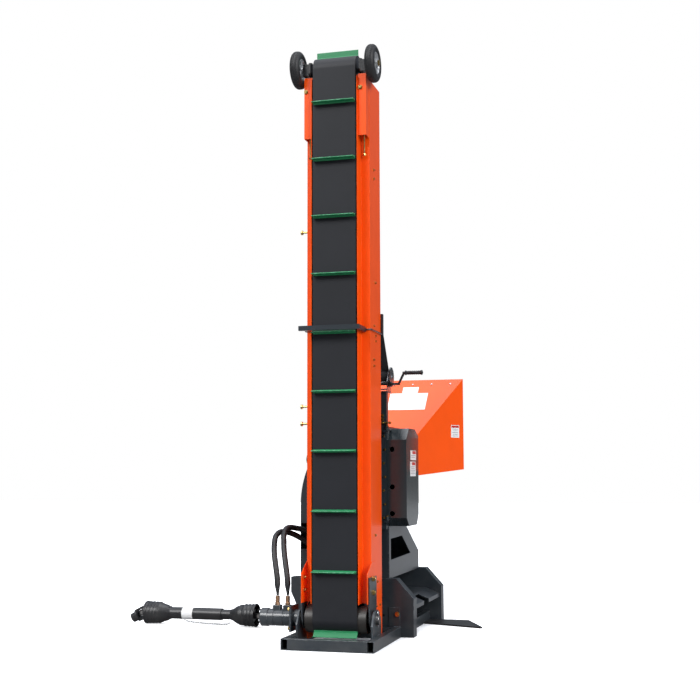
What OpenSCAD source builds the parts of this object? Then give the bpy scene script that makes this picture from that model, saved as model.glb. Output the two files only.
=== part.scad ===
// Wood cutter with an upright folding belt conveyor, shown in its transport position.
// +Z is up, +X is the right-hand side and -Y is the discharge side, where the belt conveyor folds
// down. The origin is the middle of the front cross tube, on the ground.

/* [Belt] */
// Width of the cleated belt
belt_w = 250; // [200:5:300]
// Thickness of the belt
belt_t = 5; // [3:0.5:6]
// How far a cleat stands up from the belt
cleat_h = 40; // [25:1:42]
// Thickness of a cleat
cleat_t = 6; // [4:0.5:10]
// Distance from cleat to cleat along the belt
cleat_pitch = 325.8; // [280:0.2:330]
// Diameter of the drive drum and of the head roller
drum_d = 150; // [120:1:160]
// Distance between the drum's axis and the head roller's axis
pulley_centres = 3064; // [2500:1:3100]
// Height of the drum's axis above the ground
drum_z = 142; // [135:1:170]
// From the front tube's middle back to the outer face of the belt
belt_face_y = 130; // [125:1:150]

/* [Conveyor rails] */
// Outer half-width over the two rails
rail_x = 183; // [165:1:190]
// Sheet thickness of the rails
sheet_t = 3; // [2:0.5:4]
// Depth of the skirt beside the returning belt
skirt_d = 90; // [60:1:100]
// Depth from the belt's outer face to the open edge of the trough
trough_d = 325; // [280:1:330]
// Gap between the belt's edge and the skirt
skirt_gap = 6; // [4:0.5:10]
// Height of the lower edge of the front flanges
flange_foot_z = 228; // [200:1:260]
// Distance from the rail's top edge down from the head roller's axis
rail_drop = 56; // [40:1:80]

/* [Base frame] */
// Outer half-width of the base frame
base_x = 255; // [240:1:280]
// Height of the base tubes
tube_h = 60; // [40:1:62]
// Width of the base tubes
tube_w = 40; // [30:1:50]
// Wall of the base tubes
tube_wall = 4; // [2:0.5:6]
// Thickness of the pivot ears
ear_t = 10; // [6:1:14]

/* [Stand] */
// Front face of the near leg
near_leg_y = 610; // [590:1:640]
// Front face of the far leg
far_leg_y = 1430; // [1400:1:1460]
// Right-hand edge of the legs
leg_right_x = 330; // [300:1:360]
// Left-hand edge of the legs at the top
leg_left_x = -405; // [-430:1:-390]
// Height of the legs
leg_h = 328; // [300:1:345]
// Depth of the legs' folded flanges
leg_flange = 80; // [60:1:90]
// Plate thickness of the legs and side plates
plate_t = 6; // [4:1:8]

/* [Cutter housing] */
// Outer half-width of the housing
house_x = 183; // [175:1:190]
// Wall of the housing
house_wall = 8; // [5:1:10]
// Front face of the housing
house_y = 570; // [560:1:580]
// Depth of the housing from front to back
house_d = 490; // [470:1:500]
// Underside of the housing
house_z = 610; // [600:1:620]
// Height of the housing
house_h = 590; // [580:1:600]
// Distance between the two cutting rotors
rotor_gap = 170; // [160:1:172]
// Teeth on each rotor gear
gear_teeth = 20; // [16:1:24]

/* [Hopper] */
// Half-width of the hopper's mouth
mouth_x = 468; // [400:1:480]
// Height of the mouth's lower edge
mouth_z0 = 953; // [930:1:970]
// Height of the mouth's upper edge
mouth_z1 = 1540; // [1400:1:1560]
// Length of the hopper from throat to mouth
hopper_len = 470; // [400:1:500]

/* [Wheels] */
// Outer diameter of the conveyor's ground wheels
wheel_d = 215; // [200:1:220]
// Width of the wheels
wheel_w = 58; // [50:1:60]

/* [PTO shaft] */
// Height of the drive shaft's axis
pto_z = 72; // [71:0.5:80]
// Diameter of the guard bells
bell_d = 140; // [120:1:142]
// Diameter of the outer guard tube
guard_d = 72; // [70:1:76]
// Spline bore of the tractor yoke, across its tips
spline_d = 35; // [34.9:0.1:35.2]
// Droop of the free tractor yoke
yoke_droop = 27; // [20:1:32]

/* [Hidden] */

$fn = 64;
eps = 0.01;

// Clearances: belt to drum, running fits (on the diameter), and air between moving pieces
belt_gap = 0.3;
run_fit = 0.1;
air = 0.5;

// Colours
orange = [0.95, 0.33, 0.06];
dark = [0.17, 0.19, 0.21];
black = [0.06, 0.06, 0.07];
green = [0.13, 0.55, 0.33];
steel = [0.62, 0.63, 0.64];
zinc = [0.75, 0.76, 0.74];
gold = [0.80, 0.66, 0.30];

// Belt loop
drum_r = drum_d / 2;
loop_r = drum_r + belt_gap;
pulley_y = belt_face_y + belt_t + loop_r;
head_z = drum_z + pulley_centres;
bed_y = pulley_y + loop_r;
cleat_root = loop_r + belt_t;
first_cleat_z = 399.5;
cleat_count = 20;
half_turn = PI * (loop_r + belt_t);
cleat_x = belt_w / 2 - 3;

// Rails
skirt_x = belt_w / 2 + skirt_gap;
flange_y = belt_face_y + skirt_d;
back_y = belt_face_y + trough_d;
rail_foot_z = 27;
rail_top = head_z - rail_drop;

// Belt tensioners
guard_z0 = rail_top - 340;
rod_d = 10;
rod_x = 158;
rod_z0 = guard_z0 - 110;
rod_z1 = rail_top - 256;

// Pivot: stubs of the ears carry the arms outside and the drum's journals inside
stub_d = 60;
journal_d = 36;
drum_half = rail_x - 11;
roller_half = belt_w / 2 + 2;
stub_x0 = drum_half + 3;
ear_x = base_x - tube_w - ear_t;
arm_x = rail_x + sheet_t;
arm_t = 8;
ear_half = 95;
ear_top = 195;

// Base
front_y0 = -tube_w / 2;
anchor_d = 17;

// Hydraulic motor, hung on the left ear
motor_flange = 12;
motor_mount = 35;
motor_x1 = -ear_x - ear_t - motor_mount;
motor_x0 = motor_x1 - motor_flange;
motor_body_d = 92;
motor_len = 134;
motor_cap_len = 47;
port_pressure_x = -350;
port_return_x = -291;
port_z = 236;

// Cutter
rotor_y = 780;
throat_z0 = 905;
throat_z1 = 1078;
nip_z = (throat_z0 + throat_z1) / 2;
lower_z = nip_z - rotor_gap / 2;
upper_z = nip_z + rotor_gap / 2;
house_back = house_y + house_d;
house_top = house_z + house_h;
rotor_shaft_d = 40;
rotor_r = rotor_gap / 2 - 6;
gear_x0 = house_x + 22;
gear_w = 40;
cover_x = 303;
cover_wall = 3;
hinge_x = house_x + 7;
hinge_y = house_y - 9;
hinge_d = 10;
chain_x = -255;
rotor_sprocket_r = 100;
input_sprocket_r = 55;

// Left-hand drive cover
drive_x = -347;
drive_z0 = leg_h + 12;
drive_z1 = 1030;

// Hopper
mouth_y = house_back + hopper_len;
throat_x = house_x + 2;
hopper_t = 3;

// Winch
post_x0 = 148;
post_w = 40;
winch_z = 1400;
strap_x0 = 134;
strap_w = 50;
strap_t = 3;
crank_y = 590;
crank_z = 1445;
winch_module = 2.5;
winch_teeth = 44;
pinion_teeth = 11;
winch_cd = winch_module * (winch_teeth + pinion_teeth) / 2;
winch_angle = 40;
reel_y = crank_y + winch_cd * cos(winch_angle);
reel_z = crank_z + winch_cd * sin(winch_angle);
reel_d = 56;
winch_plate_x0 = strap_x0 - 8;
winch_plate_x1 = strap_x0 + strap_w + 4;
winch_plate_t = 4;
grip_x0 = 294;
grip_x1 = 397;
grip_z = 1508;
grip_bore = 10;

// Lifting yoke on the conveyor
yoke_z = 1722;
yoke_h = 26;
yoke_y0 = 60;
yoke_bar_z = 1826;
yoke_rod_d = 8;
yoke_rod_x = rail_x + 7;

// Wheels
wheel_y = 165;
wheel_z = 3220;
wheel_x0 = 189;
axle_d = 20;
arm_in_x = 142;
takeup_t = 10;

// Stay hook
peg_y = 330;
hook_peg_z = 1209;
peg_d = 12;
hook_x = -212;

// Drive shaft
pto_y = 820;
joint1_x = -668;
joint2_x = -1436;
pto_d = 35;
fork_in = 26;
fork_out = 38;
fork_w = 32;
fork_reach = 15;
fork_back = 40;
fork_disc = 12;
pin_d = 22;
inner_d = 36;
outer_d = 44;
// Reach of each half of the telescoping shaft, and how much closer its halves can slide
inner_end_x = -1340;
outer_end_x = -930;
guard_wall = 3;

// Points on a smooth curve from a to d, pulled towards b and c on the way
function curve(a, b, c, d, n) = [for (i = [0:n]) let (t = i / n)
    pow(1 - t, 3) * a + 3 * pow(1 - t, 2) * t * b + 3 * (1 - t) * t * t * c + t * t * t * d];
function after_first(v) = [for (i = [1:len(v) - 1]) v[i]];

// Hose routes, from the motor's ports through the slot in the drive cover
hose_d = 36;
hose_z = 262;
port_rise = 30;
pressure_peak = [-409, 455, 597];
pressure_end = [-284, 650, 500];
return_peak = [-374, 478, 620];
return_end = [-296, 650, 578];
pressure_start = [port_pressure_x, 210, hose_z];
return_start = [port_return_x, 210, hose_z];
up = [0, 0, port_rise];
pressure_route = concat([pressure_start], curve(pressure_start + up, pressure_start + 170 / 30 * up,
    [-436, 277, 597], pressure_peak, 10), after_first(curve(pressure_peak, [-393, 564, 597],
    [-308, 608, 536], pressure_end, 8)));
return_route = concat([return_start], curve(return_start + up, return_start + 170 / 30 * up,
    [-383, 298, 620], return_peak, 10), after_first(curve(return_peak, [-371, 548, 620],
    [-315, 600, 601], return_end, 8)));
// Guard chain, hanging under the drive shaft
chain_d = 7;
chain_route = [[-1165, 820, 31], [-1150, 820, 26], [-1125, 820, 22], [-1095, 820, 19],
    [-1060, 820, 17], [-1025, 820, 15], [-990, 820, 14], [-955, 820, 13], [-925, 820, 12],
    [-900, 820, 13], [-880, 820, 16], [-866, 820, 22], [-856, 820, 30]];

// ---------- helpers ----------

// A box between two corners
module span(a, b) {
    translate([min(a.x, b.x), min(a.y, b.y), min(a.z, b.z)])
        cube([abs(b.x - a.x), abs(b.y - a.y), abs(b.z - a.z)]);
}

// Round bars along X, Y and Z
module bar_x(d, x0, x1, y, z) {
    translate([min(x0, x1), y, z]) rotate([0, 90, 0]) cylinder(d = d, h = abs(x1 - x0));
}
module bar_y(d, y0, y1, x, z) {
    translate([x, max(y0, y1), z]) rotate([90, 0, 0]) cylinder(d = d, h = abs(y1 - y0));
}
module bar_z(d, z0, z1, x, y) {
    translate([x, y, min(z0, z1)]) cylinder(d = d, h = abs(z1 - z0));
}

// A flat outline of [y, z] points, standing between two X planes
module side_plate(x0, x1, pts) {
    translate([min(x0, x1), 0, 0]) rotate([90, 0, 90])
        linear_extrude(abs(x1 - x0)) polygon(pts);
}

// A flat outline of [x, z] points, standing between two Y planes
module front_plate(y0, y1, pts) {
    translate([0, max(y0, y1), 0]) rotate([90, 0, 0])
        linear_extrude(abs(y1 - y0)) polygon(pts);
}

// The same shape on both sides
module both() {
    children();
    mirror([1, 0, 0]) children();
}

// A hexagon head on a washer, on a face that looks along dir
module bolt_head(at, dir, size = 12) {
    turn = abs(dir.x) > 0 ? [0, 90 * dir.x, 0] : abs(dir.y) > 0 ? [-90 * dir.y, 0, 0]
        : dir.z > 0 ? [0, 0, 0] : [180, 0, 0];
    translate(at) rotate(turn) {
        cylinder(d = size * 2, h = size * 0.2);
        cylinder(d = size * 1.75, h = size * 0.85, $fn = 6);
        cylinder(d = size, h = size * 1.1);
    }
}

// Rings of a tube swept along a route
function unit(v) = v / norm(v);
function heading(r, i) = unit(r[min(i + 1, len(r) - 1)] - r[max(i - 1, 0)]);
function side_of(t) = unit(cross(t, abs(t.y) > 0.9 ? [0, 0, 1] : [0, 1, 0]));
function ring(c, t, r, n) = let (u = side_of(t), v = cross(t, u))
    [for (k = [0:n - 1]) c + r * (cos(360 * k / n) * u + sin(360 * k / n) * v)];

module swept_tube(route, d, n = 10) {
    last = len(route) - 1;
    pts = [for (i = [0:last]) each ring(route[i], heading(route, i), d / 2, n)];
    skin = [for (i = [0:last - 1], k = [0:n - 1]) let (m = (k + 1) % n)
        [i * n + k, i * n + m, (i + 1) * n + m, (i + 1) * n + k]];
    caps = [[for (k = [n - 1:-1:0]) k], [for (k = [0:n - 1]) last * n + k]];
    polyhedron(points = pts, faces = [for (f = concat(skin, caps)) [for (k = [len(f) - 1:-1:0]) f[k]]]);
}

// A spur gear about X, with straight-sided teeth and a bore
module spur_gear(m, teeth, width, bore) {
    r = m * teeth / 2;
    step = 360 / teeth;
    outline = [for (i = [0:teeth - 1]) each [
        for (p = [[-0.27, -1.2], [-0.225, 0], [-0.12, 0.95], [0.12, 0.95], [0.225, 0], [0.27, -1.2]])
            (r + p[1] * m) * [cos((i + p[0]) * step), sin((i + p[0]) * step)]]];
    rotate([90, 0, 90]) difference() {
        linear_extrude(width) polygon(outline);
        translate([0, 0, -1]) cylinder(d = bore, h = width + 2);
    }
}

// ---------- base and pivot ----------

module base_frame() {
    side_x = base_x - tube_w;
    color(dark) difference() {
        union() {
            both() difference() {
                span([side_x, front_y0, 0], [base_x, near_leg_y, tube_h]);
                span([side_x + tube_wall, front_y0 - 1, tube_wall],
                    [base_x - tube_wall, near_leg_y + 1, tube_h - tube_wall]);
            }
            for (y = [front_y0, 540])
                difference() {
                    span([-side_x, y, 0], [side_x, y + tube_w, tube_h]);
                    span([-side_x - 1, y + tube_wall, tube_wall],
                        [side_x + 1, y + tube_w - tube_wall, tube_h - tube_wall]);
                }
            both() span([side_x - 30, near_leg_y - plate_t, 0], [base_x - 5, near_leg_y, 168]);
            both() side_plate(ear_x, ear_x + ear_t, [[pulley_y - ear_half, 0],
                [pulley_y - ear_half, 120], [pulley_y - 55, ear_top - 12], [pulley_y - 30, ear_top],
                [pulley_y + 30, ear_top], [pulley_y + 55, ear_top - 12], [pulley_y + ear_half, 120],
                [pulley_y + ear_half, 0]]);
        }
        both() span([side_x + tube_wall, near_leg_y - plate_t - 1, tube_wall],
            [base_x - tube_wall, near_leg_y + 1, tube_h - tube_wall]);
        both() bar_x(stub_d, ear_x - 1, ear_x + ear_t + 1, pulley_y, drum_z);
    }
}

// Hollow stubs: the conveyor's arms turn on them and the drum's journals turn in them
module pivot_stubs() {
    color(steel) {
        both() difference() {
            union() {
                bar_x(stub_d, stub_x0, ear_x + ear_t, pulley_y, drum_z);
            }
            bar_x(journal_d + run_fit, stub_x0 - 1, ear_x + ear_t + 1, pulley_y, drum_z);
        }
        difference() {
            bar_x(50, ear_x + ear_t, ear_x + ear_t + 16, pulley_y, drum_z);
            bar_z(5, drum_z - 30, drum_z + 30, ear_x + ear_t + 8, pulley_y);
        }
    }
}

// Spring clip through the right-hand stub's cap
module r_clip() {
    x = ear_x + ear_t + 8;
    color(zinc) {
        bar_z(4.6, drum_z - 34, drum_z + 38, x, pulley_y);
        translate([x, pulley_y, drum_z + 38]) rotate([0, 90, 0])
            translate([0, 0, -2]) difference() {
                cylinder(r = 12, h = 4);
                translate([0, 0, -1]) cylinder(r = 8, h = 6);
            }
    }
}

module hydraulic_motor() {
    color(dark) difference() {
        union() {
            bar_x(90, motor_x1, -ear_x - ear_t, pulley_y, drum_z);
            side_plate(motor_x0, motor_x1, [for (a = [45:90:315], s = [-1, 1])
                [pulley_y, drum_z] + 82 * [cos(a + 14 * s), sin(a + 14 * s)]]);
            bar_x(motor_body_d, motor_x0 - motor_len, motor_x0, pulley_y, drum_z);
            bar_x(motor_body_d + 8, motor_x0 - motor_len - motor_cap_len,
                motor_x0 - motor_len, pulley_y, drum_z);
            for (x = [port_pressure_x, port_return_x])
                span([x - 22, pulley_y - 22, drum_z], [x + 22, pulley_y + 22, port_z - 26]);
        }
        bar_x(journal_d + run_fit, motor_x1 - 60, -ear_x - ear_t + 1, pulley_y, drum_z);
    }
}

module hose_fittings() {
    color(gold) {
        for (x = [port_pressure_x, port_return_x]) {
            bar_z(30, port_z - 26, port_z - 12, x, pulley_y);
            bar_z(22, port_z - 12, 262, x, pulley_y);
        }
    }
}

module pressure_hose() {
    color(black) swept_tube(pressure_route, hose_d);
}

module return_hose() {
    color(black) swept_tube(return_route, hose_d);
}

// ---------- stand ----------

// Outline of a leg: chamfered at the right, cut back at the lower left
function leg_outline(inset = 0) = [[leg_right_x - inset, 0], [leg_right_x - inset, 217 - inset * 0.4],
    [229 - inset * 0.4, leg_h - inset], [leg_left_x + inset, leg_h - inset],
    [leg_left_x + inset, 240 + inset * 0.4], [leg_left_x + 30 + inset, 177 + inset * 0.4],
    [leg_left_x + 30 + inset, 0]];

module leg(y, opening) {
    color(dark) difference() {
        front_plate(y, y + leg_flange, leg_outline());
        front_plate(y + plate_t, y + leg_flange + 1, leg_outline(plate_t));
        front_plate(y + plate_t, y + leg_flange + 1,
            [[leg_left_x + 30 + plate_t, -1], [leg_right_x - plate_t, -1],
             [leg_right_x - plate_t, 20], [leg_left_x + 30 + plate_t, 20]]);
        for (x = opening) bar_y(anchor_d, y - 1, y + plate_t + 1, x, 120);
    }
}

module near_leg() {
    leg(near_leg_y, [-150, 150]);
}

module far_leg() {
    leg(far_leg_y, [-150, 150]);
}

// Closes the stand at the left and carries the input bearing
module left_leg_plate() {
    x = leg_left_x + 30;
    color(dark) difference() {
        span([x, near_leg_y + leg_flange, 0], [x + plate_t, far_leg_y, leg_h]);
        bar_x(64, x - 1, x + plate_t + 1, pto_y, pto_z);
    }
}

// Folded shelf between the legs, open at the middle of its outer lip
module stand_shelf() {
    y0 = near_leg_y + plate_t;
    lip_x = leg_right_x - 12;
    mid = (y0 + far_leg_y) / 2;
    color(dark) {
        difference() {
            front_plate(y0, far_leg_y, [[lip_x, 148], [lip_x, 172], [232, 206], [-369, 206],
                [-369, 200], [230, 200], [lip_x - plate_t, 168], [lip_x - plate_t, 148]]);
            span([250, mid - 70, 140], [lip_x + 1, mid + 70, 200]);
            span([chain_x - 14, 690, 190], [chain_x + 14, 950, 210]);
        }
        difference() {
            span([base_x - tube_w, y0, 0], [base_x, far_leg_y, tube_h]);
            span([base_x - tube_w + tube_wall, y0 - 1, tube_wall],
                [base_x - tube_wall, far_leg_y + 1, tube_h - tube_wall]);
        }
    }
}

module ground_skid() {
    x0 = base_x;
    color(black) linear_extrude(10)
        polygon([[x0, 1240], [630, 1100], [640, 1112], [506, 1420], [x0, 1420]]);
}

// ---------- body ----------

// Side plate of the body with its window and its slanted back corner
module body_side(x0) {
    color(dark) difference() {
        side_plate(x0, x0 + plate_t, [[near_leg_y, leg_h], [near_leg_y, house_z + 14],
            [1058, house_z + 14], [1064, house_z],
            [1410, 440], [1410, leg_h]]);
        side_plate(x0 - 1, x0 + plate_t + 1, [[650, 432], [650, 552], [940, 556], [1168, 440]]);
    }
}

module side_plate_right() {
    body_side(house_x);
}

// Left-hand plate of the body, folded on into the front panel and the slanted back panel
module side_plate_left() {
    body_side(-house_x - plate_t);
    color(dark) {
        span([-house_x, near_leg_y, leg_h], [house_x, near_leg_y + plate_t, house_z]);
        side_plate(-house_x, house_x, [[1064 - 2.2 * plate_t, house_z], [1064, house_z], [1410, 440],
            [1410, leg_h], [1410 - plate_t, leg_h], [1410 - plate_t, 440 - 0.6 * plate_t]]);
    }
}

// Box around the two rotors: open to the hopper behind and to the chute in front
module rotor_housing() {
    w = house_wall;
    inner = house_x - w;
    color(dark) difference() {
        union() {
            span([-house_x, house_y, house_z], [house_x, house_back, house_top]);
            // hinge lugs of the gear cover
            for (z = [648, 1164])
                difference() {
                    span([house_x, hinge_y - 9, z], [hinge_x + 9, hinge_y + 9, z + 12]);
                    bar_z(hinge_d, z - 1, z + 13, hinge_x, hinge_y);
                }
            for (z = [648, 1164]) bar_z(hinge_d, z, z + 34, hinge_x, hinge_y);
            for (z = [648, 1164])
                span([house_x - 14, hinge_y - 9, z], [house_x, house_y, z + 12]);
        }
        span([-inner, house_y + w, house_z + w], [inner, house_back - w, house_top - w]);
        // outlet and infeed
        span([-155, house_y - 1, house_z + w], [155, house_y + w + 1, 1100]);
        span([-inner, house_back - w - 1, throat_z0], [inner, house_back + 1, throat_z1]);
        for (z = [lower_z, upper_z])
            bar_x(rotor_shaft_d + 12, -house_x - 1, house_x + 1, rotor_y, z);
    }
}

// Guides the cut wood down into the trough
module outlet_chute() {
    x = 158;
    t = 3;
    color(dark) {
        side_plate(-x, x, [[house_y, house_z + 4], [house_y, house_z + 12], [380, 312], [372, 306],
            [374, 300], [382, 300]]);
        both() side_plate(x - t, x, [[house_y, house_z + 12], [house_y, 1100], [462, 900],
            [462, 470], [380, 312]]);
    }
}

// Outline of the left-hand cover: a long curve from its side into its top
function drive_outline(inset) = let (z0 = inset > 0 ? drive_z0 - 1 : drive_z0,
    right = inset > 0 ? 1 - house_x : -house_x) concat(
    [[right - plate_t, z0], [drive_x + inset, z0]],
    [for (a = [0:3:30]) [drive_x + 560 - (560 - inset) * cos(a), 749 + (560 - inset) * sin(a)]],
    [[right, drive_z1 - inset], [right, house_z + 14], [right - plate_t, house_z + 14]]);

module drive_cover() {
    y0 = near_leg_y + 2;
    y1 = rotor_y + rotor_sprocket_r + 30;
    color(dark) difference() {
        front_plate(y0, y1, drive_outline(0));
        front_plate(y0 + cover_wall, y1 - cover_wall, drive_outline(cover_wall));
        // slot for the hoses
        span([drive_x + cover_wall + 1, y0 - 1, 490], [-280, y0 + cover_wall + 1, 640]);
    }
}

module drive_chain() {
    w = 8;
    color(steel) difference() {
        hull() {
            bar_x(2 * rotor_sprocket_r + 16, chain_x - w, chain_x + w, rotor_y, lower_z);
            bar_x(2 * input_sprocket_r + 16, chain_x - w, chain_x + w, pto_y, pto_z);
        }
        hull() {
            bar_x(2 * rotor_sprocket_r + 1, chain_x - w - 1, chain_x + w + 1, rotor_y, lower_z);
            bar_x(2 * input_sprocket_r + 1, chain_x - w - 1, chain_x + w + 1, pto_y, pto_z);
        }
    }
}

// Square flange bearings of the rotors, and the input shaft's bearing with its long tube
module shaft_bearings() {
    color(steel) both() for (z = [lower_z, upper_z]) difference() {
        union() {
            span([house_x, rotor_y - 40, z - 40], [house_x + 12, rotor_y + 40, z + 40]);
            bar_x(72, house_x + 12, house_x + 20, rotor_y, z);
        }
        bar_x(rotor_shaft_d + run_fit, house_x - 1, house_x + 21, rotor_y, z);
    }
    x = leg_left_x + 30;
    color(dark) difference() {
        union() {
            span([x - 12, pto_y - 60, pto_z - 58], [x, pto_y + 60, pto_z + 58]);
            bar_x(62, -600, x + plate_t + 14, pto_y, pto_z);
        }
        bar_x(pto_d + run_fit, -601, x + plate_t + 15, pto_y, pto_z);
    }
}

module gear_outline(inset) {
    polygon([[570 + inset, 675 + inset * 0.5], [570 + inset, 1122 - inset * 0.5],
        [640 + inset * 0.5, 1188 - inset], [800 - inset * 0.5, 1188 - inset],
        [895 - inset, 1150 - inset * 0.5], [895 - inset, 690 + inset * 0.5],
        [845 - inset * 0.5, 626 + inset], [634 + inset * 0.5, 626 + inset]]);
}

// Hinged pan over the rotor gears
module gear_cover() {
    x0 = house_x + air;
    color(dark) difference() {
        union() {
            translate([x0, 0, 0]) rotate([90, 0, 90]) linear_extrude(cover_x - x0) gear_outline(0);
            for (z = [660 + air, 1176 + air])
                bar_z(20, z, z + 20, hinge_x, hinge_y);
            span([hinge_x, hinge_y, 660 + air], [hinge_x + 16, 600, 666]);
            span([hinge_x, hinge_y, 1176 + air], [hinge_x + 16, 650, 1182]);
        }
        translate([x0 - 1, 0, 0]) rotate([90, 0, 90])
            linear_extrude(cover_x - x0 + 1 - cover_wall) gear_outline(cover_wall);
        for (z = [648, 1164]) bar_z(hinge_d + run_fit, z - 1, z + 60, hinge_x, hinge_y);
        for (z = [699, 851, 1066]) bar_y(30, 560, 580, 218, z);
    }
}

// Funnel with a bolted flange at its throat and a rolled lip round its mouth
module hopper() {
    t = hopper_t;
    y0 = house_back + 5;
    outer = [[throat_x, throat_z0, throat_z1], [mouth_x, mouth_z0, mouth_z1]];
    loop = function(w, i) [[-w[i][0], w[i][1]], [w[i][0], w[i][1]], [w[i][0], w[i][2]], [-w[i][0], w[i][2]]];
    inner = [for (w = outer) [w[0] - t, w[1] + t, w[2] - t]];
    ys = [y0, mouth_y];
    pts = [for (i = [0, 1]) each [for (p = loop(outer, i)) [p[0], ys[i], p[1]]],
        for (i = [0, 1]) each [for (p = loop(inner, i)) [p[0], ys[i], p[1]]]];
    faces = [for (k = [0:3]) let (m = (k + 1) % 4) each [
        [k, m, m + 4, k + 4], [m + 8, k + 8, k + 12, m + 12],
        [m, k, k + 8, m + 8], [k + 4, m + 4, m + 12, k + 12]]];
    color(orange) {
        polyhedron(points = pts, faces = faces);
        difference() {
            span([-throat_x - 12, house_back, throat_z0 - 25], [throat_x + 12, y0, throat_z1 + 25]);
            span([-throat_x + t, house_back - 1, throat_z0 + t], [throat_x - t, y0 + 1, throat_z1 - t]);
        }
    }
}

// ---------- cutting rotors ----------

module rotor(z, left_end, right_end, phase) {
    color(steel) {
        bar_x(rotor_shaft_d, left_end, right_end, rotor_y, z);
        bar_x(110, -house_x + house_wall + 3, house_x - house_wall - 3, rotor_y, z);
        for (k = [0:2]) translate([0, rotor_y, z]) rotate([phase + 120 * k, 0, 0])
            span([-house_x + house_wall + 6, 0, -12], [house_x - house_wall - 6, rotor_r, 0]);
    }
}

module rotor_lower() {
    rotor(lower_z, chain_x - 14, gear_x0 + gear_w, 30);
    color(steel) difference() {
        bar_x(2 * rotor_sprocket_r, chain_x - 6, chain_x + 6, rotor_y, lower_z);
        bar_x(rotor_shaft_d, chain_x - 7, chain_x + 7, rotor_y, lower_z);
    }
}

module rotor_upper() {
    rotor(upper_z, -house_x - 24, gear_x0 + gear_w, 90);
}

module gear_lower() {
    color(steel) translate([gear_x0, rotor_y, lower_z])
        spur_gear(rotor_gap / gear_teeth, gear_teeth, gear_w, rotor_shaft_d);
}

module gear_upper() {
    color(steel) translate([gear_x0, rotor_y, upper_z]) rotate([180 / gear_teeth, 0, 0])
        spur_gear(rotor_gap / gear_teeth, gear_teeth, gear_w, rotor_shaft_d);
}

// ---------- winch ----------

module winch_post() {
    color(dark) {
        difference() {
            span([post_x0, house_y, house_top + 6], [post_x0 + post_w, house_y + post_w, winch_z - 5]);
            span([post_x0 + 3, house_y + 3, house_top + 5],
                [post_x0 + post_w - 3, house_y + post_w - 3, winch_z - 4]);
        }
        span([post_x0 - 20, house_y, house_top], [house_x, house_y + post_w + 30, house_top + 6]);
        span([post_x0 - 25, house_y - 5, winch_z - 5], [post_x0 + post_w + 8, house_y + 100, winch_z]);
    }
}

module winch_frame() {
    color(zinc) {
        span([winch_plate_x0, house_y, winch_z], [winch_plate_x1 + winch_plate_t, house_y + 95, winch_z + 4]);
        for (x = [winch_plate_x0, winch_plate_x1])
            difference() {
                side_plate(x, x + winch_plate_t, [[house_y, winch_z + 4], [house_y, winch_z + 62],
                    [reel_y - 26, reel_z + 34], [reel_y + 26, reel_z + 34], [house_y + 95, reel_z],
                    [house_y + 95, winch_z + 4]]);
                bar_x(14 + run_fit, x - 1, x + winch_plate_t + 1, crank_y, crank_z);
                bar_x(16 + run_fit, x - 1, x + winch_plate_t + 1, reel_y, reel_z);
            }
        for (p = [[house_y + 8, winch_z + 54], [house_y + 84, winch_z + 20]])
            bar_x(9, winch_plate_x0 + winch_plate_t, winch_plate_x1, p[0], p[1]);
    }
}

module winch_drum() {
    color(zinc) {
        translate([winch_plate_x1 + winch_plate_t + 2, reel_y, reel_z])
            rotate([winch_angle + 180, 0, 0]) spur_gear(winch_module, winch_teeth, 9, 16);
        bar_x(16, winch_plate_x0 - 4, winch_plate_x1 + winch_plate_t + 14, reel_y, reel_z);
        difference() {
            union() {
                bar_x(reel_d, strap_x0, strap_x0 + strap_w, reel_y, reel_z);
                bar_x(86, strap_x0 - 3, strap_x0, reel_y, reel_z);
                bar_x(86, strap_x0 + strap_w, strap_x0 + strap_w + 3, reel_y, reel_z);
            }
            bar_x(16, strap_x0 - 4, strap_x0 + strap_w + 4, reel_y, reel_z);
        }
    }
}

module winch_crank() {
    x0 = winch_plate_x1 + winch_plate_t + 2;
    hub_x = grip_x0 - 38;
    arm_dx = grip_x0 - 6 - hub_x;
    arm_dz = grip_z - crank_z;
    color(black) {
        bar_x(14, winch_plate_x0 - 4, x0, crank_y, crank_z);
        translate([x0, crank_y, crank_z]) rotate([180 / pinion_teeth + winch_angle, 0, 0])
            spur_gear(winch_module, pinion_teeth, 9, 0.5);
        bar_x(26, x0 + 11, x0 + 22, crank_y, crank_z);
        bar_x(14, x0 + 8, hub_x + 8, crank_y, crank_z);
        translate([hub_x, crank_y, crank_z]) rotate([0, atan2(arm_dx, arm_dz), 0])
            cylinder(d = 14, h = norm([arm_dx, arm_dz]));
        bar_x(16, grip_x0 - 14, grip_x0 - 1, crank_y, grip_z);
        bar_x(grip_bore, grip_x0 - 2, grip_x1 + 3, crank_y, grip_z);
    }
}

module crank_grip() {
    color(black) difference() {
        union() {
            bar_x(22, grip_x0, grip_x1, crank_y, grip_z);
            bar_x(28, grip_x0, grip_x0 + 8, crank_y, grip_z);
            bar_x(28, grip_x1 - 10, grip_x1, crank_y, grip_z);
        }
        bar_x(grip_bore + run_fit, grip_x0 - 1, grip_x1 + 1, crank_y, grip_z);
    }
}

// Webbing from the winch's reel up to the back bar of the lifting yoke
module lift_strap() {
    top = [back_y + yoke_h / 2, yoke_bar_z - yoke_h / 2 - air];
    along = unit([reel_y, reel_z] - top);
    out = [along[1], -along[0]];
    foot = [reel_y, reel_z] - out * (reel_d / 2 + strap_t + air) - along * 4;
    color(black) side_plate(strap_x0 + 1, strap_x0 + strap_w - 1,
        [top, top + out * strap_t, foot + out * strap_t, foot]);
}

// ---------- conveyor ----------

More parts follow.
